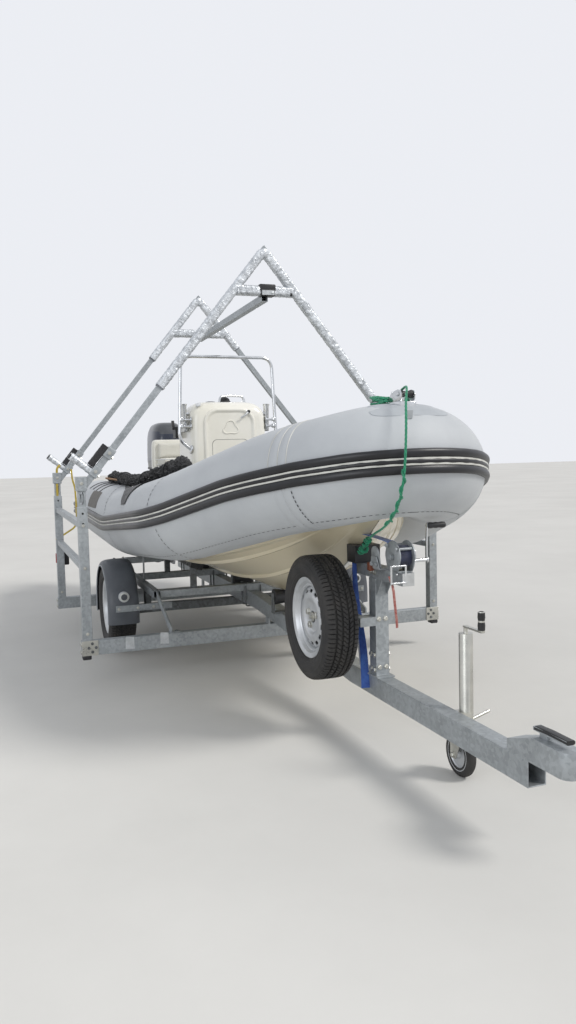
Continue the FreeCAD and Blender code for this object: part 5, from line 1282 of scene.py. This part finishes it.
def cover_folds():
    """Rings of the roll every 9 mm, folded, pleated and creased by fixed noise."""
    step = 9.0
    line = refined(rounded(COVER_LINE, 300, 8), step)
    rings = []
    for i, (p, side, up, _) in enumerate(carried(line, UP)):
        s = i * step
        end = min(1.0, (s + 30) / 170, (len(line) * step - s + 30) / 200)
        rise = 9.0 * max(0.0, min(1.0, p.x / 1000))
        ring = []
        fat = 47 + 9 * noise.noise(V(s * 0.006, 3.0, 1.0)) + 11 * noise.noise(V(s * 0.021, 7.0, 1.0))
        for k in range(52):
            a = tau * k / 52
            round_a = V(0, cos(a), sin(a))
            fold = 5.0 * sin(3 * a + s * 0.011 + 2.2 * noise.noise(V(s * 0.005, 0.5, 2.0)))
            pleat = 0.5 - abs(noise.noise(round_a * 1.5 + V(s * 0.026, 0, 0))) * 2.4
            crease = 0.5 - abs(noise.noise(round_a * 3.2 + V(s * 0.052, 4.0, 9.0))) * 2.4
            r = (fat + fold + 20.0 * pleat + 13.0 * crease) * (0.25 + 0.75 * min(1.0, end))
            squash = 0.98 if sin(a) > 0 else 0.74
            ring.append(p + side * (r * cos(a) * 1.08 + 6 * noise.noise(V(s * 0.004, 5.0, 0))) +
                        up * (r * sin(a) * squash - 2 + rise))
        rings.append(ring)
    return loft(rings)


def cover_centre(x):
    """The roll's middle line at x."""
    for (xa, ya, za), (xb, yb, zb) in zip(COVER_LINE, COVER_LINE[1:]):
        if xa <= x <= xb:
            k = (x - xa) / (xb - xa)
            return V(x, ya + (yb - ya) * k, za + (zb - za) * k)


cover = make("cover_roll", cover_folds(), COVER, replaces=("rolled_cover",), sharp=60)
ties = []
for x in (-960, 120, 980):
    c = cover_centre(x)
    ring = [c + V(0, 66 * cos(a), 62 * sin(a) - 2) for a in [tau * k / 32 for k in range(33)]]
    ties.append(sweep(ring, oblong(10, 2.4, 1.0, 2), V(1, 0, 0), True, False))
make("cover_ties", join(*ties), PLASTIC)
# Loose flap: it hangs from the roll over the tube to a point, left and right edges as (s, angle)
FLAP_LEFT = ((1700, 86), (2382, 64), (2760, 42), (2945, 25))
FLAP_RIGHT = ((3080, 86), (3050, 66), (3030, 48), (3085, 25))


def edge_at(edge, g):
    k = min(int(g * 3), 2)
    f = g * 3 - k
    return [a + (b - a) * f for a, b in zip(edge[k], edge[k + 1])]


flap = []
for i in range(25):
    g = i / 24
    (s0, a0), (s1, a1) = edge_at(FLAP_LEFT, g), edge_at(FLAP_RIGHT, g)
    row = []
    for j in range(17):
        f = j / 16
        s, a = s0 + (s1 - s0) * f, a0 + (a1 - a0) * f
        wave = 5.0 * noise.noise(V(s * 0.005, a * 0.04, 4.0)) + 1.6 * noise.noise(V(s * 0.02, a * 0.1, 8.0))
        row.append(on_tube(s, a, 7.0 + wave))
    flap.append(row)
flap_obj = make("cover_flap", loft(flap, False, False), COVER, sharp=80)
thick = flap_obj.modifiers.new("cloth", "SOLIDIFY")
thick.thickness = 0.0022
thick.offset = 1.0
make("cover_stick", pipe(smooth([V(-1560, -735, 1228), V(-1300, -722, 1226), V(-1040, -704, 1222)], 6),
                         [9 - 0.05 * k for k in range(13)], 12), WOOD)

# Road wheels and spare wheel


def tyre(centre, side, deep=7.0, inner=1.0):
    """A road tyre: side walls, shoulder slots, ribs and slanted grooves; inner narrows its back."""
    wall = [(188, 70), (203, 71), (206, 78), (214, 87), (221, 91), (226, 90), (231, 92.5), (240, 96.5),
            (252, 98.6), (264, 98.6), (274, 96.4), (276, 96.8), (279, 95), (288, 91), (296, 88)]
    # Rows of the tread: half width, radius of the blocks, radius of the cuts, slant in degrees
    rows = [(w, r, r, 0.0) for r, w in wall]
    rows += [(86, 302, 297, 0), (82, 307.5, 308 - deep, 0), (74, 312, 312 - deep, 0),
             (55.5, 314.4, 314.4 - deep, 0), (53, 314.5 - deep, 314.5 - deep, 0),
             (46, 314.6 - deep, 314.6 - deep, 0), (43.5, 314.7, 314.8 - deep, 0), (33, 314.8, 314.8 - deep, 1.6),
             (24.5, 314.9, 314.9 - deep, 2.8), (22, 315 - deep, 315 - deep, 2.8),
             (15, 315 - deep, 315 - deep, 2.8), (12.5, 315, 315 - deep, 2.8), (4, 315, 315 - deep, 3.4)]
    rows += [(-w * inner, a, b, 2.2 + s) for w, a, b, s in reversed(rows)]
    pitch = 360 / 84
    rings = []
    for w, top, low, shear in rows:
        ring = []
        for k in range(84):
            for share, r in ((0.03, low), (0.2, low), (0.23, top), (0.99, top)):
                a = radians(pitch * (k + share) + shear)
                ring.append(V(centre[0] + r * sin(a), centre[1] + side * w, centre[2] + r * cos(a)))
        rings.append(ring if side > 0 else ring[::-1])
    return loft(rings, True, False)


# The pressed disc: (radius, height) of its face, its vent slots and its thickness
RIM_FACE = [(30, 31), (66, 30.5), (72, 31), (78, 34), (88, 43), (93, 45.4), (110, 45.4), (122, 43),
            (148, 33), (153, 28), (157, 22)]
SLOTS, SLOT_R, SLOT_REACH, SLOT_HALF, DISC_T = 14, 134.0, 9.0, 7.2, 3.6


def face_height(r):
    for (r0, w0), (r1, w1) in zip(RIM_FACE, RIM_FACE[1:]):
        if r <= r1:
            return w0 + (w1 - w0) * max(0, r - r0) / (r1 - r0)
    return RIM_FACE[-1][1]


def rim_disc():
    """Radius, angle, height of the pressed disc, with long vent slots cut through it."""
    angles = []
    for i in range(SLOTS):
        start = 360 / SLOTS * i
        angles += [(start + SLOT_HALF * sin(radians(-90 + 20 * k)), k / 9) for k in range(10)]
        angles += [(start + SLOT_HALF + (360 / SLOTS - 2 * SLOT_HALF) * k / 4, None) for k in (1, 2, 3)]
    fixed = [30, 44, 66, 72, 78, 84, 88, 93, 101, 110, 118]
    outer = [146, 150, 153, 157]
    verts, faces = [], []
    rows = len(fixed) + 2 + len(outer)
    for layer in (0, 1):
        for a, share in angles:
            open_by = 0.4 if share is None else max(0.4, SLOT_REACH * sqrt(max(0, 1 - (2 * share - 1) ** 2)))
            for r in fixed + [SLOT_R - open_by, SLOT_R + open_by] + outer:
                verts.append((r, radians(a), face_height(r) - DISC_T * layer))
    n = len(angles)
    low = len(fixed)
    for i in range(n):
        j = (i + 1) % n
        opened = angles[i][1] is not None and angles[j][1] is not None and angles[j][1] > angles[i][1]
        for k in range(rows - 1):
            if k == low and opened:
                for e in (low, low + 1):
                    a, b = i * rows + e, j * rows + e
                    c, d = a + n * rows, b + n * rows
                    faces.append((a, c, d, b) if e == low else (a, b, d, c))
                continue
            a, b = i * rows + k, j * rows + k
            faces.append((a, b, b + 1, a + 1))
            c, d = a + n * rows, b + n * rows
            faces.append((c, c + 1, d + 1, d))
    return verts, faces


def wheel_rim(centre, side, out=0.0):
    """The pressed disc, set out by out, in its flanged barrel."""
    verts, faces = rim_disc()
    disc = [V(centre[0] + r * sin(a), centre[1] + side * (h + out), centre[2] + r * cos(a))
            for r, a, h in verts], [f if side < 0 else f[::-1] for f in faces]
    half = [(187, 69), (196, 71), (203, 72), (204.8, 75), (203.6, 78.4), (199, 79), (193, 76.5), (186, 75.5),
            (180, 73), (175, 66), (170, 56), (162, 43 + out), (157.5, 37 + out)]
    ring = half + [(r, -h) for r, h in reversed(half)]
    back = [(162, -34), (162, 34), (168, 42), (180, 56)]
    barrel = turned(centre, PORT, ring + back, 96, True)
    return join(disc, barrel)


def wheel_nuts(centre, side):
    """Five nuts of 19 mm on their seats, 56 mm from the middle."""
    d = 19.0
    parts = []
    for i in range(5):
        a = tau * i / 5 + 0.3
        at = V(centre[0] + 56.0 * cos(a), centre[1] + side * 30.5, centre[2] + 56.0 * sin(a))
        parts.append(turned(at, (0, side, 0), [(d * 0.75, 0), (d * 0.62, 3)], 16, caps=False))
        parts.append(turned(at, (0, side, 0), [(d * 0.56, 2), (d * 0.56, 15), (d * 0.4, 19), (d * 0.1, 20.5)], 6))
    return join(*parts)


def slot_shade(centre, side, out=0.0):
    """A dark ring behind the disc's slots: painted shade of the hollow seen through them."""
    return turned(centre, (0, side, 0), [(120, 33 + out), (150, 20 + out), (150, 17 + out), (120, 30 + out)], 64, True)


TRACK_Y = 906.0
AXLE_Z = 315.0
for tag, side in (("left", 1), ("right", -1)):
    at = (0, side * TRACK_Y, AXLE_Z)
    hub = V(0, side * (TRACK_Y + 22), AXLE_Z)
    drum = [(40, -63), (92, -63), (98, -60), (100, -54), (100, -12), (97, -6), (94, -2), (94, 0), (70, 0)]
    cap = [(31.9, 0), (31.9, 22), (30, 28), (27, 34), (20, 36.6), (5, 37)]
    for name, geo, finish, replaced, slot, sharp in (
            ("road_tyre_", tyre(at, side), TYRE, ("tyre_" + tag,), "tyre", 28),
            ("road_rim_", wheel_rim(at, side), RIM, ("rim_" + tag,), "rim", 30),
            ("wheel_nuts_", wheel_nuts(at, side), ZINC, (), "rim", 30),
            ("rim_painted_shade_", slot_shade(at, side), PLASTIC, (), "rim", 30),
            ("hub_drum_", turned(hub, (0, side, 0), drum, 64), GALV_SHADED, (), "rim", 30),
            ("hub_cap_", turned(hub, (0, side, 0), cap, 40), ZINC, (), "rim", 30)):
        make(name + tag, geo, finish, "wheel_" + tag, replaced, sharp)
SPARE = (2335.0, -222.0, 590.0)
make("spare_wheel_tyre", tyre(SPARE, -1, 9.0, 0.8), TYRE, replaces=("spare_tyre",), sharp=28)
make("spare_wheel_rim", wheel_rim(SPARE, -1, 14.0), RIM, replaces=("spare_rim",), sharp=30)
make("spare_rim_painted_shade", slot_shade(SPARE, -1, 14.0), PLASTIC, sharp=30)
make("spare_wheel_nuts", join(*[bolt((2335 + 56 * cos(a), -266.5, 590 + 56 * sin(a)), (0, -1, 0), 18)
                                for a in (0.3, 0.3 + tau * 2 / 5, 0.3 + tau * 3 / 5)],
                              turned((2335, -252, 590), (0, -1, 0), [(24, 0), (24, 18), (9, 19), (9, 34)], 24)),
     ZINC, sharp=30)
# The axle takes the darker galvanised copy: painted shade.
dress(GALV_SHADED, 3, "axle")

# Mudguards with a rolled lip, their stays and reflectors

GUARD_R = 345.5


def guard_line(low):
    """Outline of a guard in its own plane: up one side, over the wheel, down the other."""
    pts = [(V(GUARD_R, 0, low + (AXLE_Z - low) * k / 6), V(1, 0, 0)) for k in range(6)]
    for k in range(41):
        out = V(cos(pi * k / 40), 0, sin(pi * k / 40))
        pts.append((V(0, 0, AXLE_Z) + out * GUARD_R, out))
    return pts + [(V(-GUARD_R, 0, AXLE_Z - (AXLE_Z - low) * k / 6), V(-1, 0, 0)) for k in range(1, 7)]


def guard_band(section):
    """A section of (across, out) pairs carried along the guard."""
    return loft([[p + V(0, TRACK_Y + a, 0) + out * b for a, b in section] for p, out in guard_line(233)])


crown = [(-111, -40), (-109, -28), (-103, -17), (-92, -8), (-72, -1), (-40, 2.6), (0, 3.6), (40, 2.6), (72, -1),
         (92, -8), (103, -17), (109, -28), (111, -40)]
under = [(a * 0.962, b - 3.8) for a, b in reversed(crown)]
make("guard_shells", both(guard_band(crown + under)), GUARD, replaces=("mudguards",), sharp=50)
bead = [(cos(tau * k / 10) * 4.4, sin(tau * k / 10) * 4.4) for k in range(10)]
# The rolled lips are much lighter than the guard's grey plastic: a painted highlight along the edge.
make("guard_lips", both(join(*[guard_band([(s * 109 + a, b - 40) for a, b in bead]) for s in (-1, 1)])),
     surface("guard_lip_painted_highlight", (152, 158, 164), (172, 177, 182), 0.4, patch=5, grain=700, bump=0.04),
     sharp=50)
dress(GALV, 2, "guard_brackets")
bracket_bolts = []
for x, way in ((354, 1), (-354, -1)):
    for y in (700, 812, 946):
        bracket_bolts.append(bolt((x + way * 3, y, AXLE_Z + 32), (way, 0, 0), 10))
for y in (740, 850):
    bracket_bolts.append(bolt((0, y, AXLE_Z + 353), UP, 10))
make("guard_bolts", both(join(*bracket_bolts)), ZINC, sharp=30)
LENS_AT = (348.0, TRACK_Y, AXLE_Z + 115)
make("reflector_lens", both(turned(LENS_AT, FORE, [(33, -24), (33, 2), (31, 5), (23, 7.4), (22.6, 5.4),
                                                        (1, 6.2)], 40)), WHITE_LENS,
     replaces=("guard_reflectors",), sharp=50)
make("reflector_rims", both(turned(LENS_AT, FORE, [(37, -26), (37, 3), (35.5, 5), (33, 5), (32.4, 2),
                                                        (32.4, -26)], 40, caps=False)), TRIM)
make("reflector_rings", both(turned(LENS_AT, FORE, [(22, 4), (22, 8.6), (14, 9.2), (13.6, 6.4), (6, 6.6),
                                                         (5.6, 9.2), (1, 9.4)], 40)), GUARD)

# Trailer frame, rollers and bunks

dress(GALV, 2.5, "spine", "cross_members", "side_rails", "rack_beams", "rack_posts", "post_sleeves", "side_bars",
      "ridge_bar", "rack_legs", "leg_collars", "winch_post", "spare_bracket")
dress(GALV, 6, "coupling")
# Bunk posts and roller brackets under the boat take the darker galvanised copy: painted shade.
dress(GALV_SHADED, 2, "bunk_posts", "roller_brackets")
dress(RUBBER, 5, "keel_rollers")
dress(CARPET, 6, "bunks")
u_bolts = []
for x in (-1500, -420, 470):
    for dx in (-46, 46):
        path = rounded([(x + dx, 56, 470), (x + dx, 56, 322), (x + dx, -56, 322), (x + dx, -56, 470)], 16)
        u_bolts.append(pipe(path, 6, 10))
        u_bolts += [bolt((x + dx, s * 56, 482), UP, 11) for s in (-1, 1)]
    u_bolts += [bolt((x, s * 700, 480), UP, 12) for s in (-1, 1)]
# The U-bolts and frame bolts take the darker galvanised copy: painted shade.
make("frame_bolts", join(*u_bolts), GALV_SHADED, sharp=30)
for name, finish, *box in (("beam_feet", RUBBER, 903, 963, 1215, 1270, 155, 183, 8, 3),
                           ("brace_feet", GALV, 905, 955, 640, 712, 273.5, 279, 1, 1),
                           ("beam_plates", ZINC, 963.5, 968.5, 1172, 1272, 183, 277, 1, 1)):
    make(name, both(block(*box)), finish, sharp=20)
plate_bolts = [bolt((968.5, y, z), FORE, 9) for y, z in ((1209, 258), (1209, 206), (1231, 232), (1187, 232))]
plate_bolts.append(bolt((930, 665, 279), UP, 11))
make("beam_plate_bolts", both(join(*plate_bolts)), GALV_SHADED, sharp=30)

# Rack: bolts, wraps, pads and arms

RACK_X = (933.0, -820.0)
POST_Y, FOOT_Z, APEX_Z = 1235.0, 1222.0, 2756.0
LEG_LONG = hypot(POST_Y, APEX_Z - FOOT_Z)
ACROSS, RISE = POST_Y / LEG_LONG, (APEX_Z - FOOT_Z) / LEG_LONG
OUTWARD = V(0, RISE, ACROSS)
COLLARS = (142.0, 286.0)
COLLAR_W, COLLAR_L, ARM_D, ARM_L, PAD_T, PAD_W = 54.0, 70.0, 46.0, 160.0, 40.0, 56.0
ARM_UP = COLLARS[0] - COLLAR_L / 2 + ARM_D / 2


def on_leg(x, at, out=0.0, fore=0.0):
    """A point on a port leg: at up its slope, out from its outer side, fore ahead of it."""
    return V(x + fore, POST_Y - at * ACROSS, FOOT_Z + at * RISE) + OUTWARD * out


def wrap(a, b, size, seed, up):
    """Foil-faced wrap crumpled over a bar."""
    return crumpled(sweep(refined([Vector(a), Vector(b)], 8.0), oblong(size, size, size * 0.3, 6), up), 7.0, 0.055,
        seed)


# The legs' wraps start at different heights to starboard and port, each behind a tape
wraps, cuffs = [], []
for x, star, port in zip(RACK_X, (820, 1307), (715, 1440)):
    for end, side in ((star, -1), (port, 1)):
        wraps.append(on_side(wrap(on_leg(x, end), on_leg(x, LEG_LONG - 22), 58, x * 0.01 + side, V(1, 0, 0)), side))
        cuffs.append(on_side(sweep([on_leg(x, end - 7), on_leg(x, end + 7)], oblong(53, 53, 12, 4), V(1, 0, 0)), side))
for x, z, seed in zip(RACK_X, (2492.0, 2462.0), (5.0, 8.0)):
    reach = POST_Y * (APEX_Z - z) / (APEX_Z - FOOT_Z) - 18
    wraps.append(wrap((x, -reach, z), (x, reach, z), 64, seed, UP))
    knob = [(8, -33), (29, -29), (35, -16), (36, 0), (35, 16), (29, 29), (8, 33)]
    wraps.append(crumpled(turned((x, 0, APEX_Z - 22), FORE, knob, 28), 7.0, 0.06, seed))
make("silver_wraps", join(*wraps), FOIL, sharp=60)
make("wrap_ties", join(*cuffs), surface("tie_tape", (96, 99, 106), (128, 131, 138), 0.5, patch=20, grain=300,
                                        bump=0.05))
clamps = [block(897, 969, -43, 69, 2488, 2534, 8, 3), block(902, 972, -36, 62, 2456, 2500, 6, 3),
          block(-852, -782, -6, 44, 2432, 2500, 8, 3), block(903, 966, 168, 188, 2462, 2486, 5, 2)]
make("crossbar_clamps", join(*clamps), PLASTIC)
make("clamp_face", join(block(972, 975, -30, 56, 2461, 2492, 1.2, 1),
                        turned((975, 40, 2476), FORE, [(9, 0), (9, 3), (6, 5)], 20)), TAPE)

pads, arms, arm_ends, rack_bolts = [], [], [], []
for x in RACK_X:
    lift = COLLAR_W / 2 + PAD_T / 2
    path = refined([on_leg(x, ARM_UP + ARM_D / 2 + 4, lift), on_leg(x, COLLARS[1] + 25, lift)], 6)
    root = on_leg(x, ARM_UP, COLLAR_W / 2)
    along = refined([root, root + OUTWARD * (ARM_L - 2)], 6)
    for side in (1, -1):
        pads.append(on_side(crumpled(sweep(path, oblong(PAD_W, PAD_T, 9, 5), OUTWARD), 4.5, 0.05, x + side), side))
        radii = [ARM_D / 2 * (1 + 0.05 * sin(i * 0.9 + side)) for i in range(len(along))]
        arms.append(on_side(crumpled(pipe(along, radii, 22), 4.5, 0.06, x + 3 * side), side))
        arm_ends.append(on_side(turned(root + OUTWARD * (ARM_L - 3), OUTWARD,
                                       [(23, -8), (24, -2), (21, 2.5), (5, 3)], 22), side))
    for at in COLLARS:
        rack_bolts += [(on_leg(x, at, 0, COLLAR_W / 2), FORE, 11),
                       (on_leg(x, at - 12, -COLLAR_W / 2), -OUTWARD, 13)]
    rack_bolts += [((x + 33, POST_Y, 1262), FORE, 10)]
    rack_bolts += [((x + 30, POST_Y, z), FORE, 10) for z in (320, 735, 1000)]
    rack_bolts += [((x + dx, 1271, z), PORT, 11) for dx in (-18, 18) for z in (203, 253)]
for piece in (make("foam_pads", join(*pads), FOAM, replaces=("leg_pads",), sharp=60),
              make("padded_arms", join(*arms), FOIL, replaces=("leg_arms",), sharp=60)):
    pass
make("arm_ends", join(*arm_ends), PLASTIC)
make("rack_bolt_heads", join(*[both(bolt(*head)) for head in rack_bolts]), ZINC, sharp=30)

# Two holes in each rack post drawn as black rings and discs: painted shade inside the holes.
holes = []
for x in RACK_X:
    for z in (1076, 1012):
        for profile, caps in (([(7, -3), (7, 0.4), (5.5, 0.6), (5.5, -3)], False), ([(6.2, -2), (6.2, 0.2)], True)):
            holes.append(both(turned((x + 30, POST_Y, z), FORE, profile, 20, caps=caps)))
make("post_holes_painted_shade", join(*holes), PLASTIC)
tapes = []
for y0, y1, z0, z1 in ((-1003, -946, 203, 276), (-780, -724, 214, 282)):
    tapes.append(crumpled(slab([(963.4, y0, z0), (963.4, y1, z0 - 5), (963.4, y1 - 2, z1), (963.4, y0 + 3, z1 + 4)],
                               (1.2, 0, 0)), 0.6, 0.05, y0))
make("beam_tapes", join(*tapes), TAPE)

# Tail lamps on the rear posts

make("lamp_cases", both(block(-850, -820, 1165, 1265, 540, 660, 9, 3)), PLASTIC, replaces=("tail_lamps",))
make("lamp_red_lenses", both(join(block(-864, -848, 1169, 1261, 574, 656, 6, 3),
                                  block(-846, -826, 1262, 1272, 560, 640, 4, 2))), RED_LENS)
make("lamp_clear_lenses", both(block(-863, -848, 1169, 1261, 544, 571, 6, 3)), WHITE_LENS)

# Winch, snubber and straps

WX, WZ = 2775.0, 929.0  # the drum's axis


def cheek(y0, y1):
    """A side of the winch: round above, with feet below."""
    outline = [(WX + 75 * cos(radians(a)), y0, WZ + 75 * sin(radians(a))) for a in range(0, 181, 12)]
    outline += [(WX - 62, y0, WZ - 40), (WX - 45, y0, 861), (WX + 45, y0, 861), (WX + 62, y0, WZ - 40)]
    return slab(outline, (0, y1 - y0, 0), 1.5, 2)


make("winch_cheeks", join(
    cheek(-40, -35), cheek(35, 40), block(WX - 45, WX + 45, -40, 40, 860, 865.5, 1, 1),
    rod((WX - 45, -44, WZ + 50), (WX - 45, 44, WZ + 50), 7), rod((WX + 48, -44, WZ + 40), (WX + 48, 44, WZ + 40), 7),
    rod((WX, -46, WZ), (WX, 52, WZ), 11), bolt((WX - 45, -44, WZ + 50), (0, -1, 0), 11),
    bolt((WX + 48, -44, WZ + 40), (0, -1, 0), 11), bolt((WX, -46, WZ), (0, -1, 0), 15)), GALV,
    replaces=("winch",), sharp=35)
# The gear's rim: every third step of the circle lies 5 mm lower
gear_rings = [[V(WX + r * cos(a), y, WZ + r * sin(a)) for r, a in
               [(66.0 if k % 3 else 61.0, tau * k / 96) for k in range(96)]] for y in (42, 48)]
frame_rods = [rod((2853, y, 812), (2853, y, 900), 5) for y in (-88, -14)]
frame_rods += [rod((2853, -92, z), (2853, -10, z), 5) for z in (818, 896)]
make("winch_frame", join(block(2850, 2853, -30, 30, 800, 860, 1, 1), *frame_rods,
                         rod((2820, -38, 858), (2853, -60, 858), 4)), STEEL, sharp=35)
make("winch_gear", join(
    loft(gear_rings), rod((WX + 30, 40, WZ - 20), (WX + 30, 122, WZ - 20), 9),
    sweep(rounded([(WX + 30, 122, WZ - 25), (WX + 30, 122, WZ + 60), (WX + 30, 127, WZ + 150)], 20),
          oblong(14, 7, 2), V(0, 1, 0)),
    turned((WX + 30, 124, WZ - 20), PORT, [(14, -4), (14, 3), (9, 6)], 20)), STEEL,
    sharp=35)
make("winch_grip", turned((WX + 30, 124, WZ + 140), PORT,
                          [(10, 0), (14, 4), (15, 20), (12.6, 34), (15, 48), (12.6, 62), (15, 78), (14, 94), (8, 100)],
                          24), PLASTIC)
# The strap wound on the drum is the blue webbing drawn dark navy: painted shade between the winch's cheeks.
coil = [[V(WX + r * cos(a), y, WZ + r * sin(a) * 0.98) for a, r in
         [(tau * k / 60, 54 + 1.3 * sin(k * 0.31 + y * 0.3)) for k in range(60)]]
        for y in (-33, -31, -10, 12, 31, 33)]
make("winch_strap_coil", loft(coil), surface("coiled_webbing_painted_shade", (16, 22, 48), (30, 40, 76), 0.6, patch=20, **WEB),
     sharp=40)


def strap(name, points, width, material, up):
    """A strap of 2.2 mm webbing along rounded points."""
    path = refined(rounded([V(*p) for p in points], 30.0, 6), 12)
    obj = make(name, ribbon(path, width, 2.2, up), material, sharp=50)


strap("winch_strap", [(WX - 40, 0, WZ + 38), (2690, -2, 990), (2560, -6, 1000), (2386, -8, 1008)], 46, BLUE_WEB,
      UP)
tie_path = refined(smooth([V(2388, -44, 905), V(2393, -58, 852), V(2421, -60, 662), V(2480, -60, 460),
                           V(2500, -61, 330), V(2508, -61, 243)], 10), 12)
tie_rings = []
for i, (p, s, u, _) in enumerate(carried(tie_path, V(0.97, -0.2, 0))):
    f = i / (len(tie_path) - 1)
    fold = 3.0 * sin(7 * f)
    tie_rings.append([p + s * a + u * (b + fold * cos(a * 0.2)) for a, b in oblong(20 + 24 * f, 2.4, 1.1, 2)])
tie_strap = make("bow_tie_strap", loft(tie_rings), BLUE_WEB, sharp=50)
strap("winch_tail", [(2815, -79, 846), (2852, -79, 800), (2850, -70, 715), (2850, -62, 640), (2848, -60, 612)], 13,
      RED_WEB, V(1, 0, 0))
strap("rear_arm_strap", [(-796, -1210, 1366), (-790, -1236, 1340), (-792, -1240, 1187), (-796, -1238, 1080),
                         (-800, -1236, 1024)], 18, YELLOW_WEB, V(1, 0, 0.1))
strap("rack_tie_strap", [(-792, -1122, 1330), (-790, -1116, 1240), (-790, -1098, 1180), (-790, -1094, 1060),
                         (-790, -1094, 900), (-792, -1112, 850), (-792, -1266, 756)], 14, YELLOW_WEB,
      V(1, 0, 0.1))
make("strap_edge", ribbon(refined([V(2440, -74, 660), V(2450, -72, 520), V(2462, -70, 400), V(2480, -68, 330)], 20),
                          9, 3, V(0.97, -0.2, 0)), TRIM)

dress(RUBBER, 6, "snubber")
outline = [(2610, 866), (2690, 866), (2692, 930)]
outline += [(2651 + 41 * cos(radians(a)), 934 + 36 * sin(radians(a))) for a in range(10, 175, 15)]
outline += [(2610, 930)]
flat = slab([(x, -62, z) for x, z in outline], (0, 6, 0), 1.5, 2)
make("snubber_side", ([v + V(0, -10 * (v.z - 866) / 100, 0) for v in flat[0]], flat[1]), GALV,
     sharp=50)
make("snubber_plates", join(
    block(2602, 2700, -70, 62, 860, 866, 1.5, 1),
    slab([(2604, -70, 862), (2698, -70, 862), (2680, -76, 920), (2622, -76, 920)], (0, 4, 0), 1, 1),
    bolt((2630, -76, 884), (0, -1, 0), 11), bolt((2672, -76, 884), (0, -1, 0), 11)), GALV,
    sharp=30)
make("strap_keeper", crumpled(block(2596, 2626, -88, -60, 846, 888, 7, 3), 4, 0.06, 2.0), BROWN)
post_bolts = [bolt((2545 + dx, s * 35, z), (0, s, 0), 13) for dx in (-18, 18) for z in (345, 420) for s in (-1, 1)]
post_bolts += [bolt((2580, dy, z), FORE, 12) for dy in (-18, 18) for z in (360, 600)]
post_bolts += [bolt((2545 + dx, s * 30, 830), (0, s, 0), 13) for dx in (-22, 22) for s in (-1, 1)]
make("winch_post_bolts", join(*post_bolts), ZINC, sharp=30)
make("post_gusset", join(*[slab([(2582, y, 800), (2640, y, 800), (2582, y, 720)], (0, 5, 0), 1, 1)
                           for y in (-30, 25)]), GALV)

# Jockey wheel

dress(ZINC, 2, "jockey_tube")
dress(STEEL, 1.5, "jockey_stem")
JOCKEY_HUB = (3134.0, 92.0, 100.0)
# The fork's crown is 3 mm lower than the CAD's, so that it swivels clear under the drawbar
fork = [block(3108, 3208, 52, 132, 203, 209, 1.5, 2),
        turned((3180, 92, 209), UP, [(9.3, 0), (21, 0), (21, 2.4), (19, 3.2), (9.3, 3.2)], 40, True),
        turned(JOCKEY_HUB, PORT, [(0, -41), (7, -41), (8, -40), (8, 40), (7, 41), (0, 41)], 32, caps=False)]
for y in (52, 127):
    fork.append(slab([(3208, y, 207), (3108, y, 207), (3114, y, 88), (3120, y, 84), (3148, y, 84), (3154, y, 88)],
                     (0, 5, 0), 1, 2))
for y, side in ((52, -1), (132, 1)):
    fork.append(bolt((JOCKEY_HUB[0], y, JOCKEY_HUB[2]), (0, side, 0), 12))
make("jockey_fork_plates", join(*fork), ZINC, "jockey_caster", ("jockey_fork",), 30)
make("jockey_tyre",
    turned(JOCKEY_HUB, PORT, [(60, -20), (74, -20), (84, -21), (93, -18), (98.5, -11), (100, -5), (100, 5),
            (98.5, 11), (93, 18), (84, 21), (74, 20), (60, 20)], 56, True), TYRE, "jockey_roller", ("jockey_wheel",),
    40)
make("jockey_hub",
    turned(JOCKEY_HUB, PORT, [(8.6, -29), (17, -29), (19, -26), (22, -14), (56, -12), (62, -19), (74, -20.4),
            (76, -18), (76, 18), (74, 20.4), (62, 19), (56, 12), (22, 14), (19, 26), (17, 29), (8.6, 29)], 48, True),
    RIM, "jockey_roller", (), 40)
make("jockey_grip", turned((3298, 92, 672), UP, [(12, 0), (15, 3), (16, 24), (13.5, 40), (16, 56), (15, 76), (10, 80)],
                           24), PLASTIC)
make("coupling_grip", sweep(rounded([(3786, 0, 430), (3850, 0, 433), (3960, 0, 431)], 20), oblong(36, 16, 7, 4), UP),
     PLASTIC)
